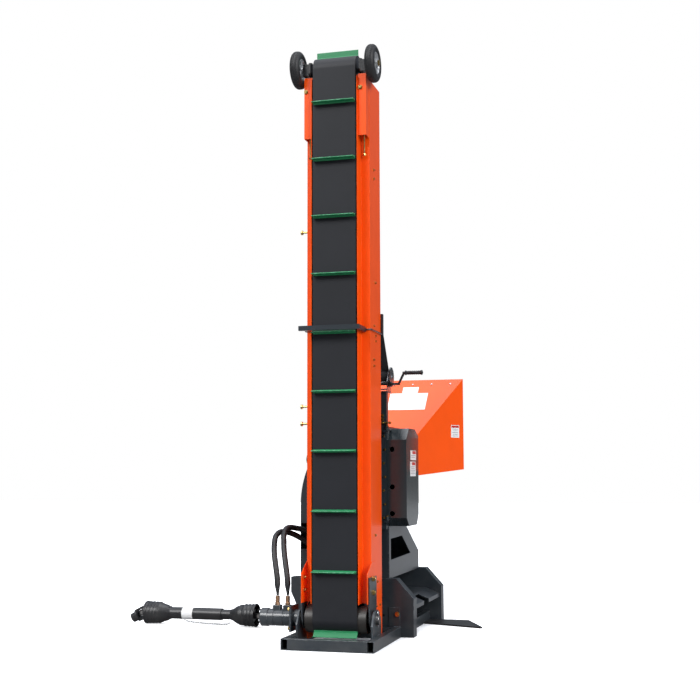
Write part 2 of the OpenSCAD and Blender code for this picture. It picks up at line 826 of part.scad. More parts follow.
// One rail, folded from sheet: skirt, front flange and trough wall
module rail() {
    t = sheet_t;
    color(orange) difference() {
        union() {
            translate([0, 0, flange_foot_z]) linear_extrude(rail_top - flange_foot_z)
                polygon([[skirt_x, belt_face_y], [skirt_x + t, belt_face_y],
                    [skirt_x + t, flange_y - t], [rail_x, flange_y - t], [rail_x, back_y],
                    [rail_x - t, back_y], [rail_x - t, flange_y], [skirt_x, flange_y]]);
            span([rail_x - t, flange_y - t, rail_foot_z], [rail_x, back_y, flange_foot_z]);
            span([skirt_x + t + 3.5, flange_y - 36, guard_z0 + 20],
                [rail_x - 5.5, flange_y - t, guard_z0 + 26]);
        }
        bar_x(stub_d + 6, rail_x - t - 1, rail_x + 1, pulley_y, drum_z);
        bar_z(rod_d + 1, guard_z0, guard_z0 + 40, rod_x, flange_y - 22);
    }
}

module rail_right() {
    rail();
}

module rail_left() {
    mirror([1, 0, 0]) rail();
}

// Plate under the carrying run, with channels that tie the two trough walls together
module slider_bed() {
    x = rail_x - sheet_t;
    y1 = bed_y - air;
    color(dark) {
        span([-x, y1 - 4, 270], [x, y1, rail_top - 60]);
        for (z = [460:620:2940])
            difference() {
                span([-x, pulley_y + 20, z - 25], [x, y1 - 4, z + 25]);
                span([-x - 1, pulley_y + 24, z - 21], [x + 1, y1 - 3, z + 21]);
            }
    }
}

module belt() {
    outer = loop_r + belt_t;
    color(black) difference() {
        union() {
            bar_x(2 * outer, -belt_w / 2, belt_w / 2, pulley_y, drum_z);
            bar_x(2 * outer, -belt_w / 2, belt_w / 2, pulley_y, head_z);
            span([-belt_w / 2, pulley_y - outer, drum_z], [belt_w / 2, pulley_y + outer, head_z]);
        }
        bar_x(2 * loop_r, -belt_w, belt_w, pulley_y, drum_z);
        bar_x(2 * loop_r, -belt_w, belt_w, pulley_y, head_z);
        span([-belt_w, pulley_y - loop_r, drum_z], [belt_w, pulley_y + loop_r, head_z]);
    }
}

// Place on the belt at distance s from the drum's height, up the front, over and down the back
module on_belt(s) {
    run = pulley_centres;
    if (s < 0)
        translate([0, pulley_y, drum_z]) rotate([-s / half_turn * 180, 0, 0])
            translate([0, -cleat_root, 0]) children();
    else if (s <= run)
        translate([0, pulley_y - cleat_root, drum_z + s]) children();
    else if (s < run + half_turn)
        translate([0, pulley_y, head_z]) rotate([-(s - run) / half_turn * 180, 0, 0])
            translate([0, -cleat_root, 0]) children();
    else
        translate([0, pulley_y + cleat_root, head_z - (s - run - half_turn)])
            rotate([180, 0, 0]) children();
}

module belt_cleats() {
    t = cleat_t / 2;
    s0 = first_cleat_z - drum_z;
    color(green) for (i = [-1:cleat_count - 2]) on_belt(s0 + i * cleat_pitch)
        side_plate(-cleat_x, cleat_x, [[0, -t - 6], [0, t + 6], [-8, t], [-cleat_h + 2, t],
            [-cleat_h, t - 2], [-cleat_h, 2 - t], [-cleat_h + 2, -t], [-8, -t]]);
}

// Boxes over the belt tensioners, in front of the flanges
module tension_guards() {
    z0 = guard_z0;
    z1 = rail_top + 15;
    y1 = flange_y - sheet_t;
    color(orange) both() difference() {
        span([skirt_x + sheet_t, y1 - 66, z0], [rail_x - 2, y1, z1]);
        span([skirt_x + sheet_t + 3, y1 - 63, z0 - 1], [rail_x - 5, y1 + 1, z1 + 1]);
    }
}

// Threaded rods with their nuts, from below the guards up to the take-up arms
module tension_rods() {
    y = flange_y - 22;
    color(gold) both() {
        bar_z(rod_d, rod_z0, rod_z1, rod_x, y);
        for (z = [rod_z0 + 4, guard_z0 + 26.5]) bar_z(18, z, z + 10, rod_x, y, $fn = 6);
    }
}

// Arms that carry the head roller and the ground wheels
module takeup_arms() {
    color(black) both() difference() {
        union() {
            side_plate(arm_in_x, arm_in_x + takeup_t, [[flange_y - 42, rod_z1 + 6], [flange_y - 42, 3160],
                [140, 3190], [140, 3250], [180, 3262], [240, 3240], [250, 3180],
                [flange_y - 8, rail_top + 5], [flange_y - 8, rod_z1 + 6]]);
            span([arm_in_x + takeup_t, flange_y - 34, rod_z1], [rail_x - 8, flange_y - 10, rod_z1 + 12]);
            span([arm_in_x + takeup_t, wheel_y - 25, wheel_z - 45], [rail_x + 2, wheel_y + 30, wheel_z + 23]);
            bar_x(axle_d + 12, arm_in_x + takeup_t, wheel_x0 - 1, wheel_y, wheel_z);
            bar_x(axle_d, arm_in_x + takeup_t, wheel_x0 + wheel_w + 3, wheel_y, wheel_z);
        }
        bar_x(30 + run_fit, arm_in_x - 1, arm_in_x + takeup_t + 1, pulley_y, head_z);
    }
}

// Ring round the trough that the winch pulls on: front bar, bent side rods and back bar
module lift_yoke() {
    z0 = yoke_z - yoke_h / 2;
    z1 = yoke_z + yoke_h / 2;
    rod_y = flange_y - sheet_t - yoke_rod_d / 2;
    color(dark) {
        span([-185, yoke_y0, z0], [160, yoke_y0 + 24, z1]);
        both() {
            span([140, yoke_y0 + 24, z0], [158, flange_y - sheet_t, z1]);
            bar_x(yoke_rod_d, 157, yoke_rod_x + yoke_rod_d / 2, rod_y, yoke_z);
            bar_y(yoke_rod_d, rod_y, back_y + 20, yoke_rod_x, yoke_z);
            span([yoke_rod_x - 4, back_y, yoke_z - 8], [yoke_rod_x + 4, back_y + 26, yoke_bar_z]);
        }
        span([-yoke_rod_x - 4, back_y, yoke_bar_z - yoke_h / 2],
            [yoke_rod_x + 4, back_y + 26, yoke_bar_z + yoke_h / 2]);
    }
}

module gusset_plates() {
    color(orange) both() difference() {
        side_plate(rail_x, arm_x, [[120, flange_foot_z + 4], [120, 390], [flange_y - 2, 450],
            [300, 450], [300, flange_foot_z + 4]]);
        bar_x(stub_d + 6, rail_x - 1, arm_x + 1, pulley_y, drum_z);
    }
}

// Arms that hang the conveyor on the pivot stubs
module pivot_arms() {
    color(dark) both() difference() {
        union() {
            bar_x(110, arm_x, arm_x + arm_t, pulley_y, drum_z);
            side_plate(arm_x, arm_x + arm_t, [[pulley_y - 55, drum_z], [135, 215], [135, 372],
                [290, 372], [290, 215], [pulley_y + 55, drum_z]]);
        }
        bar_x(stub_d + run_fit, arm_x - 1, arm_x + arm_t + 1, pulley_y, drum_z);
    }
}

module conveyor_bolts() {
    color(gold) {
        both() for (z = [288, 362]) bolt_head([arm_x + arm_t, 208, z], [1, 0, 0], 15);
        for (z = [300, 368]) bolt_head([-rail_x, 165, z], [1, 0, 0], 12);
        for (p = [[306, 2646], [306, 2594], [290, 1560], [290, 1525], [306, 590], [330, 2000]])
            both() bolt_head([rail_x, p[0], p[1]], [1, 0, 0], 8);
        for (x = [148, -170]) bolt_head([x, flange_y - sheet_t - 66, rail_top - 65], [0, -1, 0], 12);
        both() bar_x(34, wheel_x0 + wheel_w + 3, wheel_x0 + wheel_w + 12, wheel_y, wheel_z, $fn = 6);
    }
    color(dark) {
        for (p = [[345, 335], [320, 205], [400, 205], [300, 1752], [335, 1698], [335, 1668]])
            both() bolt_head([rail_x, p[0], p[1]], [1, 0, 0], 7);
        for (z = [hook_peg_z, 1306, 2312]) {
            bar_x(peg_d, -rail_x - 62, -rail_x, peg_y, z);
            bar_x(26, -rail_x - 72, -rail_x - 62, peg_y, z);
        }
    }
}

// Latch that hangs on the lowest peg
module stay_hook() {
    w = 6;
    foot = hook_peg_z - 200;
    color(black) difference() {
        union() {
            bar_x(28, hook_x - w / 2, hook_x + w / 2, peg_y, hook_peg_z);
            span([hook_x - w / 2, peg_y - 6, foot + 15], [hook_x + w / 2, peg_y + 6, hook_peg_z]);
            bar_x(52, hook_x - w / 2, hook_x + w / 2, peg_y, foot);
        }
        bar_x(peg_d + run_fit, hook_x - w, hook_x + w, peg_y, hook_peg_z);
        bar_x(30, hook_x - w, hook_x + w, peg_y, foot);
    }
}

// ---------- drum, roller and wheels ----------

module drive_drum() {
    color(steel) {
        difference() {
            bar_x(drum_d, -drum_half, drum_half, pulley_y, drum_z);
            both() bar_x(drum_d - 24, drum_half - 12, drum_half + 1, pulley_y, drum_z);
        }
        bar_x(journal_d, drum_half - 12, ear_x + ear_t - 2, pulley_y, drum_z);
        bar_x(journal_d, motor_x1 - 50, -drum_half + 12, pulley_y, drum_z);
    }
}

module head_roller() {
    color(steel) {
        bar_x(drum_d, -roller_half + 2, roller_half - 2, pulley_y, head_z);
        both() bar_x(30, roller_half - 3, arm_in_x + takeup_t, pulley_y, head_z);
    }
}

rim_d = 122;

// Tyre with a rounded tread, about the wheel's own middle
module tyre_solid() {
    r = wheel_d / 2;
    h = wheel_w / 2;
    rotate([0, 90, 0]) rotate_extrude() polygon([[rim_d / 2, -h + 8], [rim_d / 2 + 8, -h + 2],
        [r - 25, -h], [r - 12, -h + 5], [r - 4, -h + 14], [r, 0], [r - 4, h - 14], [r - 12, h - 5],
        [r - 25, h], [rim_d / 2 + 8, h - 2], [rim_d / 2, h - 8]]);
}

// Spoked rim with its hub
module rim_solid() {
    h = wheel_w / 2;
    difference() {
        union() {
            rotate([0, 90, 0]) rotate_extrude() polygon([[rim_d / 2 - 7, -h + 8], [rim_d / 2, -h + 8],
                [rim_d / 2, h - 8], [rim_d / 2 - 7, h - 8]]);
            bar_x(46, -h, h, 0, 0);
            for (k = [0:4]) rotate([72 * k, 0, 0]) span([-6, -8, 18], [6, 8, rim_d / 2 - 5]);
        }
        bar_x(axle_d + run_fit, -h - 1, h + 1, 0, 0);
    }
}

module at_wheel(side) {
    translate([side * (wheel_x0 + wheel_w / 2), wheel_y, wheel_z]) children();
}

module tyre_left() {
    color(black) at_wheel(-1) tyre_solid();
}

module rim_left() {
    color(zinc) at_wheel(-1) rim_solid();
}

module tyre_right() {
    color(black) at_wheel(1) tyre_solid();
}

module rim_right() {
    color(zinc) at_wheel(1) rim_solid();
}

// ---------- drive shaft ----------

// Two forks and their back disc about a joint's centre, reaching back along dir; pins along Z or Y
module forks(dir, along_z) {
    rotate([along_z ? 0 : 90, 0, 0]) difference() {
        union() {
            for (s = [-1, 1]) span([-dir * fork_reach, -fork_w / 2, s * fork_in],
                [dir * (fork_back + fork_disc), fork_w / 2, s * fork_out]);
            bar_x(2 * fork_out, dir * fork_back, dir * (fork_back + fork_disc), 0, 0);
        }
        bar_z(pin_d + run_fit, -fork_out - 1, fork_out + 1, 0, 0);
    }
}

module input_shaft() {
    color(steel) {
        bar_x(pto_d, joint1_x + fork_back + 2, chain_x + 14, pto_y, pto_z);
        translate([joint1_x, pto_y, pto_z]) forks(1, true);
        difference() {
            bar_x(2 * input_sprocket_r, chain_x - 6, chain_x + 6, pto_y, pto_z);
            bar_x(pto_d, chain_x - 7, chain_x + 7, pto_y, pto_z);
        }
    }
}

module cross_solid() {
    bar_z(pin_d, -fork_out, fork_out, 0, 0);
    bar_y(pin_d, -fork_out, fork_out, 0, 0);
    rotate([0, 90, 0]) translate([0, 0, -14]) cylinder(d = 34, h = 28);
}

module universal_cross() {
    color(steel) translate([joint1_x, pto_y, pto_z]) cross_solid();
}

module shaft_machine() {
    color(steel) {
        translate([joint1_x, pto_y, pto_z]) forks(-1, false);
        bar_x(outer_d + 2, joint1_x - fork_back - fork_disc - 60,
            joint1_x - fork_back - fork_disc, pto_y, pto_z);
        bar_x(inner_d, inner_end_x, joint1_x - fork_back - fork_disc - 60, pto_y, pto_z);
    }
}

// Guard from its bell's mouth towards +X: bell, tube and the web that runs on the shaft
module guard_solid(tube_d, length, shaft_d) {
    r = bell_d / 2;
    t = guard_wall;
    rotate([0, 90, 0]) rotate_extrude() {
        polygon([[r - t, 0], [r, 0], [r - 1, 70], [r - 12, 125], [tube_d / 2 + 4, 150],
            [tube_d / 2, 165], [tube_d / 2, length], [tube_d / 2 - t, length],
            [tube_d / 2 - t, 163], [tube_d / 2, 148], [r - 15, 122], [r - 1 - t, 70]]);
        translate([(shaft_d + run_fit) / 2, 50]) square([r - 2 - shaft_d / 2, 12]);
    }
}

module guard_machine() {
    mouth = joint1_x - 23;
    color(black) translate([mouth, pto_y, pto_z]) mirror([1, 0, 0])
        guard_solid(guard_d - 2 * guard_wall - 6, 500, outer_d + 2);
}

module shaft_tractor() {
    end = joint2_x + fork_back + fork_disc - 1;
    color(steel) {
        translate([joint2_x, pto_y, pto_z]) forks(1, false);
        difference() {
            bar_x(outer_d, end, outer_end_x, pto_y, pto_z);
            bar_x(inner_d + run_fit, end, outer_end_x + 1, pto_y, pto_z);
        }
    }
}

module guard_tractor() {
    mouth = joint2_x + 18;
    color(black) translate([mouth, pto_y, pto_z]) guard_solid(guard_d, 503, outer_d);
}

module tractor_cross() {
    color(steel) translate([joint2_x, pto_y, pto_z]) rotate([0, -yoke_droop, 0]) cross_solid();
}

// Tractor yoke, hanging down from the open joint
module yoke_tractor() {
    color(steel) translate([joint2_x, pto_y, pto_z]) rotate([0, -yoke_droop, 0]) difference() {
        union() {
            forks(-1, true);
            bar_x(58, -fork_back - 46, -fork_back, 0, 0);
        }
        bar_x(spline_d, -fork_back - 47, -fork_back + 1, 0, 0);
    }
}

module safety_chain() {
    color(black) swept_tube(chain_route, chain_d, 8);
}

// Gold and zinc bolts of the machine side
module machine_bolts() {
    color(gold) {
        for (s = [-1, 1]) bolt_head([s * 235, near_leg_y - plate_t, 130], [0, -1, 0], 14);
        // two staggered columns on the housing's front, and the hinge pins' nuts
        for (k = [0:6]) for (s = [-1, 1])
            bolt_head([s * (k % 2 == 0 ? 168 : 175), house_y, 675 + 78 * k], [0, -1, 0], 7);
        for (z = [682.5, 1198.5]) bar_z(14, z, z + 7, hinge_x, hinge_y, $fn = 6);
        // adjusting rod with its nuts, across the foot of the winch post
        bar_x(8, 138, 216, house_y - 8, 1219);
        for (x = [142, 160, 184, 204]) bar_x(16, x, x + 9, house_y - 8, 1219, $fn = 6);
        for (z = [drum_z - 48, drum_z + 48]) for (y = [pulley_y - 48, pulley_y + 48])
            bolt_head([motor_x0, y, z], [-1, 0, 0], 10);
    }
    color(zinc) for (z = [1240, 1262])
        bolt_head([post_x0 + 14, house_y, z], [0, -1, 0], 9);
}

base_frame();
pivot_stubs();
r_clip();
hydraulic_motor();
hose_fittings();
pressure_hose();
return_hose();
near_leg();
far_leg();
left_leg_plate();
stand_shelf();
ground_skid();
side_plate_right();
side_plate_left();
rotor_housing();
outlet_chute();
drive_cover();
hopper();
winch_post();
winch_frame();
lift_strap();
drive_chain();
shaft_bearings();
machine_bolts();
rotor_lower();
gear_lower();
rotor_upper();
gear_upper();
gear_cover();
winch_drum();
winch_crank();
crank_grip();
rail_left();
rail_right();
slider_bed();
belt();
belt_cleats();
tension_guards();
tension_rods();
takeup_arms();
lift_yoke();
gusset_plates();
pivot_arms();
conveyor_bolts();
stay_hook();
drive_drum();
head_roller();
tyre_left();
rim_left();
tyre_right();
rim_right();
input_shaft();
universal_cross();
shaft_machine();
guard_machine();
shaft_tractor();
guard_tractor();
tractor_cross();
yoke_tractor();
safety_chain();
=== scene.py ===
"""Looks for a wood cutter whose belt conveyor is folded upright.

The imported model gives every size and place. Each sub-assembly is a class that makes its pieces,
dresses them in a finish and hands each one to the body that it moves with.
"""

from __future__ import annotations

import logging
import math
from dataclasses import dataclass
from enum import Enum
from typing import Iterable, Sequence

import bpy
from mathutils import Matrix, Vector

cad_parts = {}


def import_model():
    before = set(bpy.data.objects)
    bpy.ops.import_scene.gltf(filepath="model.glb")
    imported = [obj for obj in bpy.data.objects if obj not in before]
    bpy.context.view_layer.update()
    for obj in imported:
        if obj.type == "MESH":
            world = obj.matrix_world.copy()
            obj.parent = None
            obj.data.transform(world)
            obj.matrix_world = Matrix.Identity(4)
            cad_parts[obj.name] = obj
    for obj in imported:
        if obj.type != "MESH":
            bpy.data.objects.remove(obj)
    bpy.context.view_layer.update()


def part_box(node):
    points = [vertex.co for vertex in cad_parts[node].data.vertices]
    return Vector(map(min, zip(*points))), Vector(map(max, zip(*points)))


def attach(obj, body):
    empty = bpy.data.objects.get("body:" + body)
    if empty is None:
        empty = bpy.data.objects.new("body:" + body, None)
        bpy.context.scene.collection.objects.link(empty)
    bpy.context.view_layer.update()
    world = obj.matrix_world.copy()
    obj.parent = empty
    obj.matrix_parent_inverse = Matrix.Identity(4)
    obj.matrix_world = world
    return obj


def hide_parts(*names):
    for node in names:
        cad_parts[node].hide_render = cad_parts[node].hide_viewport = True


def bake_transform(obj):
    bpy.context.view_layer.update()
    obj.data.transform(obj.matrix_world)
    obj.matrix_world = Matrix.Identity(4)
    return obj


LOG = logging.getLogger("wood_cutter")
Point = tuple[float, float, float]
Colour = tuple[float, float, float]
Tree = bpy.types.NodeTree
Node = bpy.types.Node
Socket = bpy.types.NodeSocket


class Axis(Enum):
    """Directions that round pieces are turned about."""

    X = (1.0, 0.0, 0.0)
    Y = (0.0, 1.0, 0.0)
    Z = (0.0, 0.0, 1.0)
    BACK_X = (-1.0, 0.0, 0.0)


# ---------------------------------------------------------------- shader groups


class ShaderKit:
    """Node groups that several finishes share, each built once."""

    def __init__(self) -> None:
        """Build the four groups."""
        self.grain = self._grain()
        self.wear_and_highlight = self._wear_and_highlight()
        self.dust = self._dust()
        self.weave = self._weave()

    @staticmethod
    def _new(name: str, inputs: dict[str, float | Colour], outputs: dict[str, str]) -> tuple:
        """Start a group with named sockets.

        Args:
            name: What the group does.
            inputs: Socket names with their starting values; three numbers make a colour.
            outputs: Socket names with their socket types.

        Returns:
            The group, its input node and its output node.
        """
        tree = bpy.data.node_groups.new(name, "ShaderNodeTree")
        for label, value in inputs.items():
            is_colour = isinstance(value, tuple)
            kind = "NodeSocketColor" if is_colour else "NodeSocketFloat"
            socket = tree.interface.new_socket(name=label, in_out="INPUT", socket_type=kind)
            socket.default_value = (*value, 1.0) if is_colour else value
        for label, kind in outputs.items():
            tree.interface.new_socket(name=label, in_out="OUTPUT", socket_type=kind)
        return tree, tree.nodes.new("NodeGroupInput"), tree.nodes.new("NodeGroupOutput")

    @staticmethod
    def _noise(tree: Tree, scale: float | Socket, detail: float, roughness: float = 0.5) -> Node:
        """Add object-space noise whose scale is a number or a socket, and return the node."""
        place = tree.nodes.new("ShaderNodeTexCoord")
        noise = tree.nodes.new("ShaderNodeTexNoise")
        noise.inputs["Detail"].default_value = detail
        noise.inputs["Roughness"].default_value = roughness
        tree.links.new(place.outputs["Object"], noise.inputs["Vector"])
        if isinstance(scale, (int, float)):
            noise.inputs["Scale"].default_value = scale
        else:
            tree.links.new(scale, noise.inputs["Scale"])
        return noise

    @staticmethod
    def _ramp(tree: Tree, source: Socket, low: float, high: float) -> Socket:
        """Stretch a value from low..high to 0..1, clamped, and return the result socket."""
        ramp = tree.nodes.new("ShaderNodeMapRange")
        ramp.inputs["From Min"].default_value = low
        ramp.inputs["From Max"].default_value = high
        tree.links.new(source, ramp.inputs["Value"])
        return ramp.outputs["Result"]

    @staticmethod
    def maths(tree: Tree, operation: str, first: float | Socket,
              second: float | Socket) -> Socket:
        """Combine two sockets, or a socket and a number, and return the result socket."""
        node = tree.nodes.new("ShaderNodeMath")
        node.operation = operation
        for slot, value in enumerate((first, second)):
            if isinstance(value, (int, float)):
                node.inputs[slot].default_value = value
            else:
                tree.links.new(value, node.inputs[slot])
        return node.outputs[0]

    @staticmethod
    def mix(tree: Tree, factor: float | Socket, first: Colour | Socket,
            second: Colour | Socket) -> Socket:
        """Mix two colours, each a socket or three numbers, and return the result socket."""
        node = tree.nodes.new("ShaderNodeMix")
        node.data_type = "RGBA"
        for name, value in (("Factor", factor), ("A", first), ("B", second)):
            socket = node.inputs[0] if name == "Factor" else node.inputs[6 if name == "A" else 7]
            if isinstance(value, (int, float)):
                socket.default_value = value
            elif isinstance(value, tuple):
                socket.default_value = (*value, 1.0)
            else:
                tree.links.new(value, socket)
        return node.outputs[2]

    def _grain(self) -> Tree:
        """Fine surface relief with a slow mottling of its own: a height and a patchiness."""
        tree, start, end = self._new(
            "Surface grain", {"Fine Scale": 400.0, "Patch Scale": 6.0},
            {"Height": "NodeSocketFloat", "Patches": "NodeSocketFloat"})
        fine = self._noise(tree, start.outputs["Fine Scale"], 2.0)
        patch = self._noise(tree, start.outputs["Patch Scale"], 3.0, 0.6)
        tree.links.new(fine.outputs["Fac"], end.inputs["Height"])
        tree.links.new(self._ramp(tree, patch.outputs["Fac"], 0.35, 0.65), end.inputs["Patches"])
        return tree

    def _wear_and_highlight(self) -> Tree:
        """Rounded edges in a second colour: worn paint on some finishes, a painted edge highlight
        on others. Bevel faces carry the attribute "edge", broken up by noise.
        """
        tree, start, end = self._new(
            "Edge wear and highlight", {"Paint": (0.5, 0.5, 0.5), "Bare And Highlight": (0.6, 0.6, 0.6), "Amount": 0.5},
            {"Colour": "NodeSocketColor", "Mask": "NodeSocketFloat"})
        edge = tree.nodes.new("ShaderNodeAttribute")
        edge.attribute_name = "edge"
        edge_breakup = self._noise(tree, 55.0, 4.0, 0.65)
        spots = self._ramp(tree, edge_breakup.outputs["Fac"], 0.5, 0.58)
        rubbed_and_highlit = self.maths(tree, "MULTIPLY", edge.outputs["Fac"], spots)
        mask = self.maths(tree, "MULTIPLY", rubbed_and_highlit, start.outputs["Amount"])
        colour = self.mix(tree, mask, start.outputs["Paint"], start.outputs["Bare And Highlight"])
        tree.links.new(colour, end.inputs["Colour"])
        tree.links.new(mask, end.inputs["Mask"])
        return tree

    def _dust(self) -> Tree:
        """Pale dust that lies thicker near the ground and on faces that look up."""
        tree, start, end = self._new(
            "Dust", {"Colour": (0.5, 0.5, 0.5), "Dust": (0.36, 0.33, 0.29), "Amount": 0.3,
                     "Reach": 0.6},
            {"Colour": "NodeSocketColor", "Mask": "NodeSocketFloat"})
        place = tree.nodes.new("ShaderNodeTexCoord")
        split = tree.nodes.new("ShaderNodeSeparateXYZ")
        tree.links.new(place.outputs["Object"], split.inputs[0])
        height = self.maths(tree, "DIVIDE", split.outputs["Z"], start.outputs["Reach"])
        low = self.maths(tree, "SUBTRACT", 1.0, height)
        low = self.maths(tree, "MAXIMUM", low, 0.0)
        facing = tree.nodes.new("ShaderNodeSeparateXYZ")
        geometry = tree.nodes.new("ShaderNodeNewGeometry")
        tree.links.new(geometry.outputs["Normal"], facing.inputs[0])
        upward = self.maths(tree, "MAXIMUM", facing.outputs["Z"], 0.0)
        upward = self.maths(tree, "MULTIPLY", upward, 0.6)
        lying = self.maths(tree, "ADD", low, upward)
        cloud = self._noise(tree, 14.0, 5.0, 0.6)
        patchy = self.maths(tree, "MULTIPLY", lying,
                             self._ramp(tree, cloud.outputs["Fac"], 0.35, 0.75))
        mask = self.maths(tree, "MULTIPLY", patchy, start.outputs["Amount"])
        mask = self.maths(tree, "MINIMUM", mask, 0.8)
        tree.links.new(self.mix(tree, mask, start.outputs["Colour"], start.outputs["Dust"]),
                       end.inputs["Colour"])
        tree.links.new(mask, end.inputs["Mask"])
        return tree

    def _weave(self) -> Tree:
        """Crossed threads on the piece's own UV map: a height and a thread mask."""
        tree, start, end = self._new(
            "Weave", {"Across": 20.0, "Along": 20.0},
            {"Height": "NodeSocketFloat", "Thread": "NodeSocketFloat"})
        place = tree.nodes.new("ShaderNodeTexCoord")
        split = tree.nodes.new("ShaderNodeSeparateXYZ")
        tree.links.new(place.outputs["UV"], split.inputs[0])
        waves = []
        for axis, name in (("X", "Across"), ("Y", "Along")):
            turns = self.maths(tree, "MULTIPLY", split.outputs[axis], start.outputs[name])
            angle = self.maths(tree, "MULTIPLY", turns, 2 * math.pi)
            waves.append(self.maths(tree, "SINE", angle, 0.0))
        crossed = self.maths(tree, "MULTIPLY", waves[0], waves[1])
        height = self._ramp(tree, crossed, -1.0, 1.0)
        tree.links.new(height, end.inputs["Height"])
        tree.links.new(self._ramp(tree, crossed, -0.4, 0.4), end.inputs["Thread"])
        return tree


# ---------------------------------------------------------------- finishes


@dataclass(frozen=True)
class Finish:
    """One finish of the machine, and the name of its slot."""

    name: str
    slot: str
    colour: Colour
    roughness: float = 0.45
    metallic: float = 0.0
    shade: float = 0.9
    fine_scale: float = 500.0
    patch_scale: float = 5.0
    relief: float = 0.08
    relief_depth: float = 0.0004
    # Colour and amount for rounded edges: worn paint or rubber on most finishes, a painted edge
    # highlight on some.
    bare_and_highlight: Colour = (0.42, 0.4, 0.38)
    wear_and_highlight: float = 0.35
    dust: float = 0.12
    reach: float = 0.5
    coat: float = 0.0
    specular: float = 0.5

    def material(self, kit: ShaderKit) -> bpy.types.Material:
        """Build this finish's material, or return it if it is already built.

        Args:
            kit: The shared shader groups.

        Returns:
            The material.
        """
        known = bpy.data.materials.get(self.name)
        if known:
            return known
        material = bpy.data.materials.new(self.name)
        material.use_nodes = True
        tree = material.node_tree
        shader = tree.nodes["Principled BSDF"]
        shader.inputs["Coat Weight"].default_value = self.coat
        shader.inputs["Coat Roughness"].default_value = 0.12
        shader.inputs["Specular IOR Level"].default_value = self.specular
        colour, mask, height = self._surface(tree, kit)
        tree.links.new(colour, shader.inputs["Base Color"])
        self._set_roughness(tree, shader, mask)
        if self.metallic > 0:
            shader.inputs["Metallic"].default_value = self.metallic
        bump = tree.nodes.new("ShaderNodeBump")
        bump.inputs["Strength"].default_value = self.relief
        bump.inputs["Distance"].default_value = self.relief_depth
        tree.links.new(height, bump.inputs["Height"])
        tree.links.new(bump.outputs["Normal"], shader.inputs["Normal"])
        return material

    def _group(self, tree: Tree, group: Tree, values: dict) -> Node:
        """Place a shared group in a material and set its values."""
        node = tree.nodes.new("ShaderNodeGroup")
        node.node_tree = group
        for label, value in values.items():
            if isinstance(value, tuple):
                node.inputs[label].default_value = (*value, 1.0)
            elif isinstance(value, (int, float)):
                node.inputs[label].default_value = value
            else:
                tree.links.new(value, node.inputs[label])
        return node

    def _surface(self, tree: Tree, kit: ShaderKit) -> tuple[Socket, Socket, Socket]:
        """Colour, dust mask and height sockets of the surface."""
        grain = self._group(tree, kit.grain,
                            {"Fine Scale": self.fine_scale, "Patch Scale": self.patch_scale})
        darker = tuple(channel * self.shade for channel in self.colour)
        base = kit.mix(tree, grain.outputs["Patches"], self.colour, darker)
        # Rounded edges take the second colour: worn paint on most finishes, a painted edge
        # highlight on the orange and green ones.
        wear_and_highlight = self._group(tree, kit.wear_and_highlight, {"Paint": base, "Bare And Highlight": self.bare_and_highlight,
                                            "Amount": self.wear_and_highlight})
        dust = self._group(tree, kit.dust, {"Colour": wear_and_highlight.outputs["Colour"],
                                            "Amount": self.dust, "Reach": self.reach})
        return dust.outputs["Colour"], dust.outputs["Mask"], grain.outputs["Height"]

    def _set_roughness(self, tree: Tree, shader: Node, mask: Socket) -> None:
        """Make dusty places duller than clean ones."""
        blend = tree.nodes.new("ShaderNodeMapRange")
        blend.inputs["From Max"].default_value = 0.5
        blend.inputs["To Min"].default_value = self.roughness
        blend.inputs["To Max"].default_value = min(1.0, self.roughness + 0.3)
        tree.links.new(mask, blend.inputs["Value"])
        tree.links.new(blend.outputs["Result"], shader.inputs["Roughness"])


@dataclass(frozen=True)
class WovenFinish(Finish):
    """A finish with a weave that follows the piece's UV map."""

    across: float = 18.0
    along: float = 60.0
    thread_shade: float = 0.55

    def _surface(self, tree: Tree, kit: ShaderKit) -> tuple[Socket, Socket, Socket]:
        """Colour, dust mask and height sockets of the woven surface."""
        weave = self._group(tree, kit.weave, {"Across": self.across, "Along": self.along})
        darker = tuple(channel * self.thread_shade for channel in self.colour)
        base = kit.mix(tree, weave.outputs["Thread"], darker, self.colour)
        dust = self._group(tree, kit.dust, {"Colour": base, "Amount": self.dust,
                                            "Reach": self.reach})
        return dust.outputs["Colour"], dust.outputs["Mask"], weave.outputs["Height"]


# Painted highlight: the pale salmon given to this finish's rounded edges stands for light on the
# edges, not worn paint.
ORANGE = Finish("Orange powder coat", "orange_paint", (0.87, 0.082, 0.0005), roughness=0.33,
                shade=0.95, relief=0.05, wear_and_highlight=0.3, bare_and_highlight=(0.95, 0.22, 0.06), dust=0.01,
                coat=0.0, specular=0.35)
DARK = Finish("Blue-grey paint", "frame_paint", (0.019, 0.025, 0.031), roughness=0.32,
              shade=0.86, relief=0.07, wear_and_highlight=0.6, bare_and_highlight=(0.12, 0.145, 0.165), dust=0.07, coat=0.25,
              specular=0.5)
COVER = Finish("Glossy blue-grey paint", "frame_paint", (0.018, 0.026, 0.03), roughness=0.2,
               shade=0.9, relief=0.04, wear_and_highlight=0.6, bare_and_highlight=(0.14, 0.17, 0.19), dust=0.02, coat=0.3)
BLACK = Finish("Black paint", "black_paint", (0.009, 0.009, 0.01), roughness=0.32,
               wear_and_highlight=0.4, bare_and_highlight=(0.1, 0.1, 0.1), dust=0.05, coat=0.1)
STEEL = Finish("Oiled steel", "steel", (0.3, 0.29, 0.28), roughness=0.33, metallic=1.0,
               shade=0.7, fine_scale=900.0, wear_and_highlight=0.2, bare_and_highlight=(0.6, 0.6, 0.6), dust=0.05)
DRUM = Finish("Dark lagged drum", "steel", (0.022, 0.019, 0.017), roughness=0.42, metallic=0.2,
              shade=0.7, patch_scale=18.0, wear_and_highlight=0.5, bare_and_highlight=(0.1, 0.09, 0.08), dust=0.05)
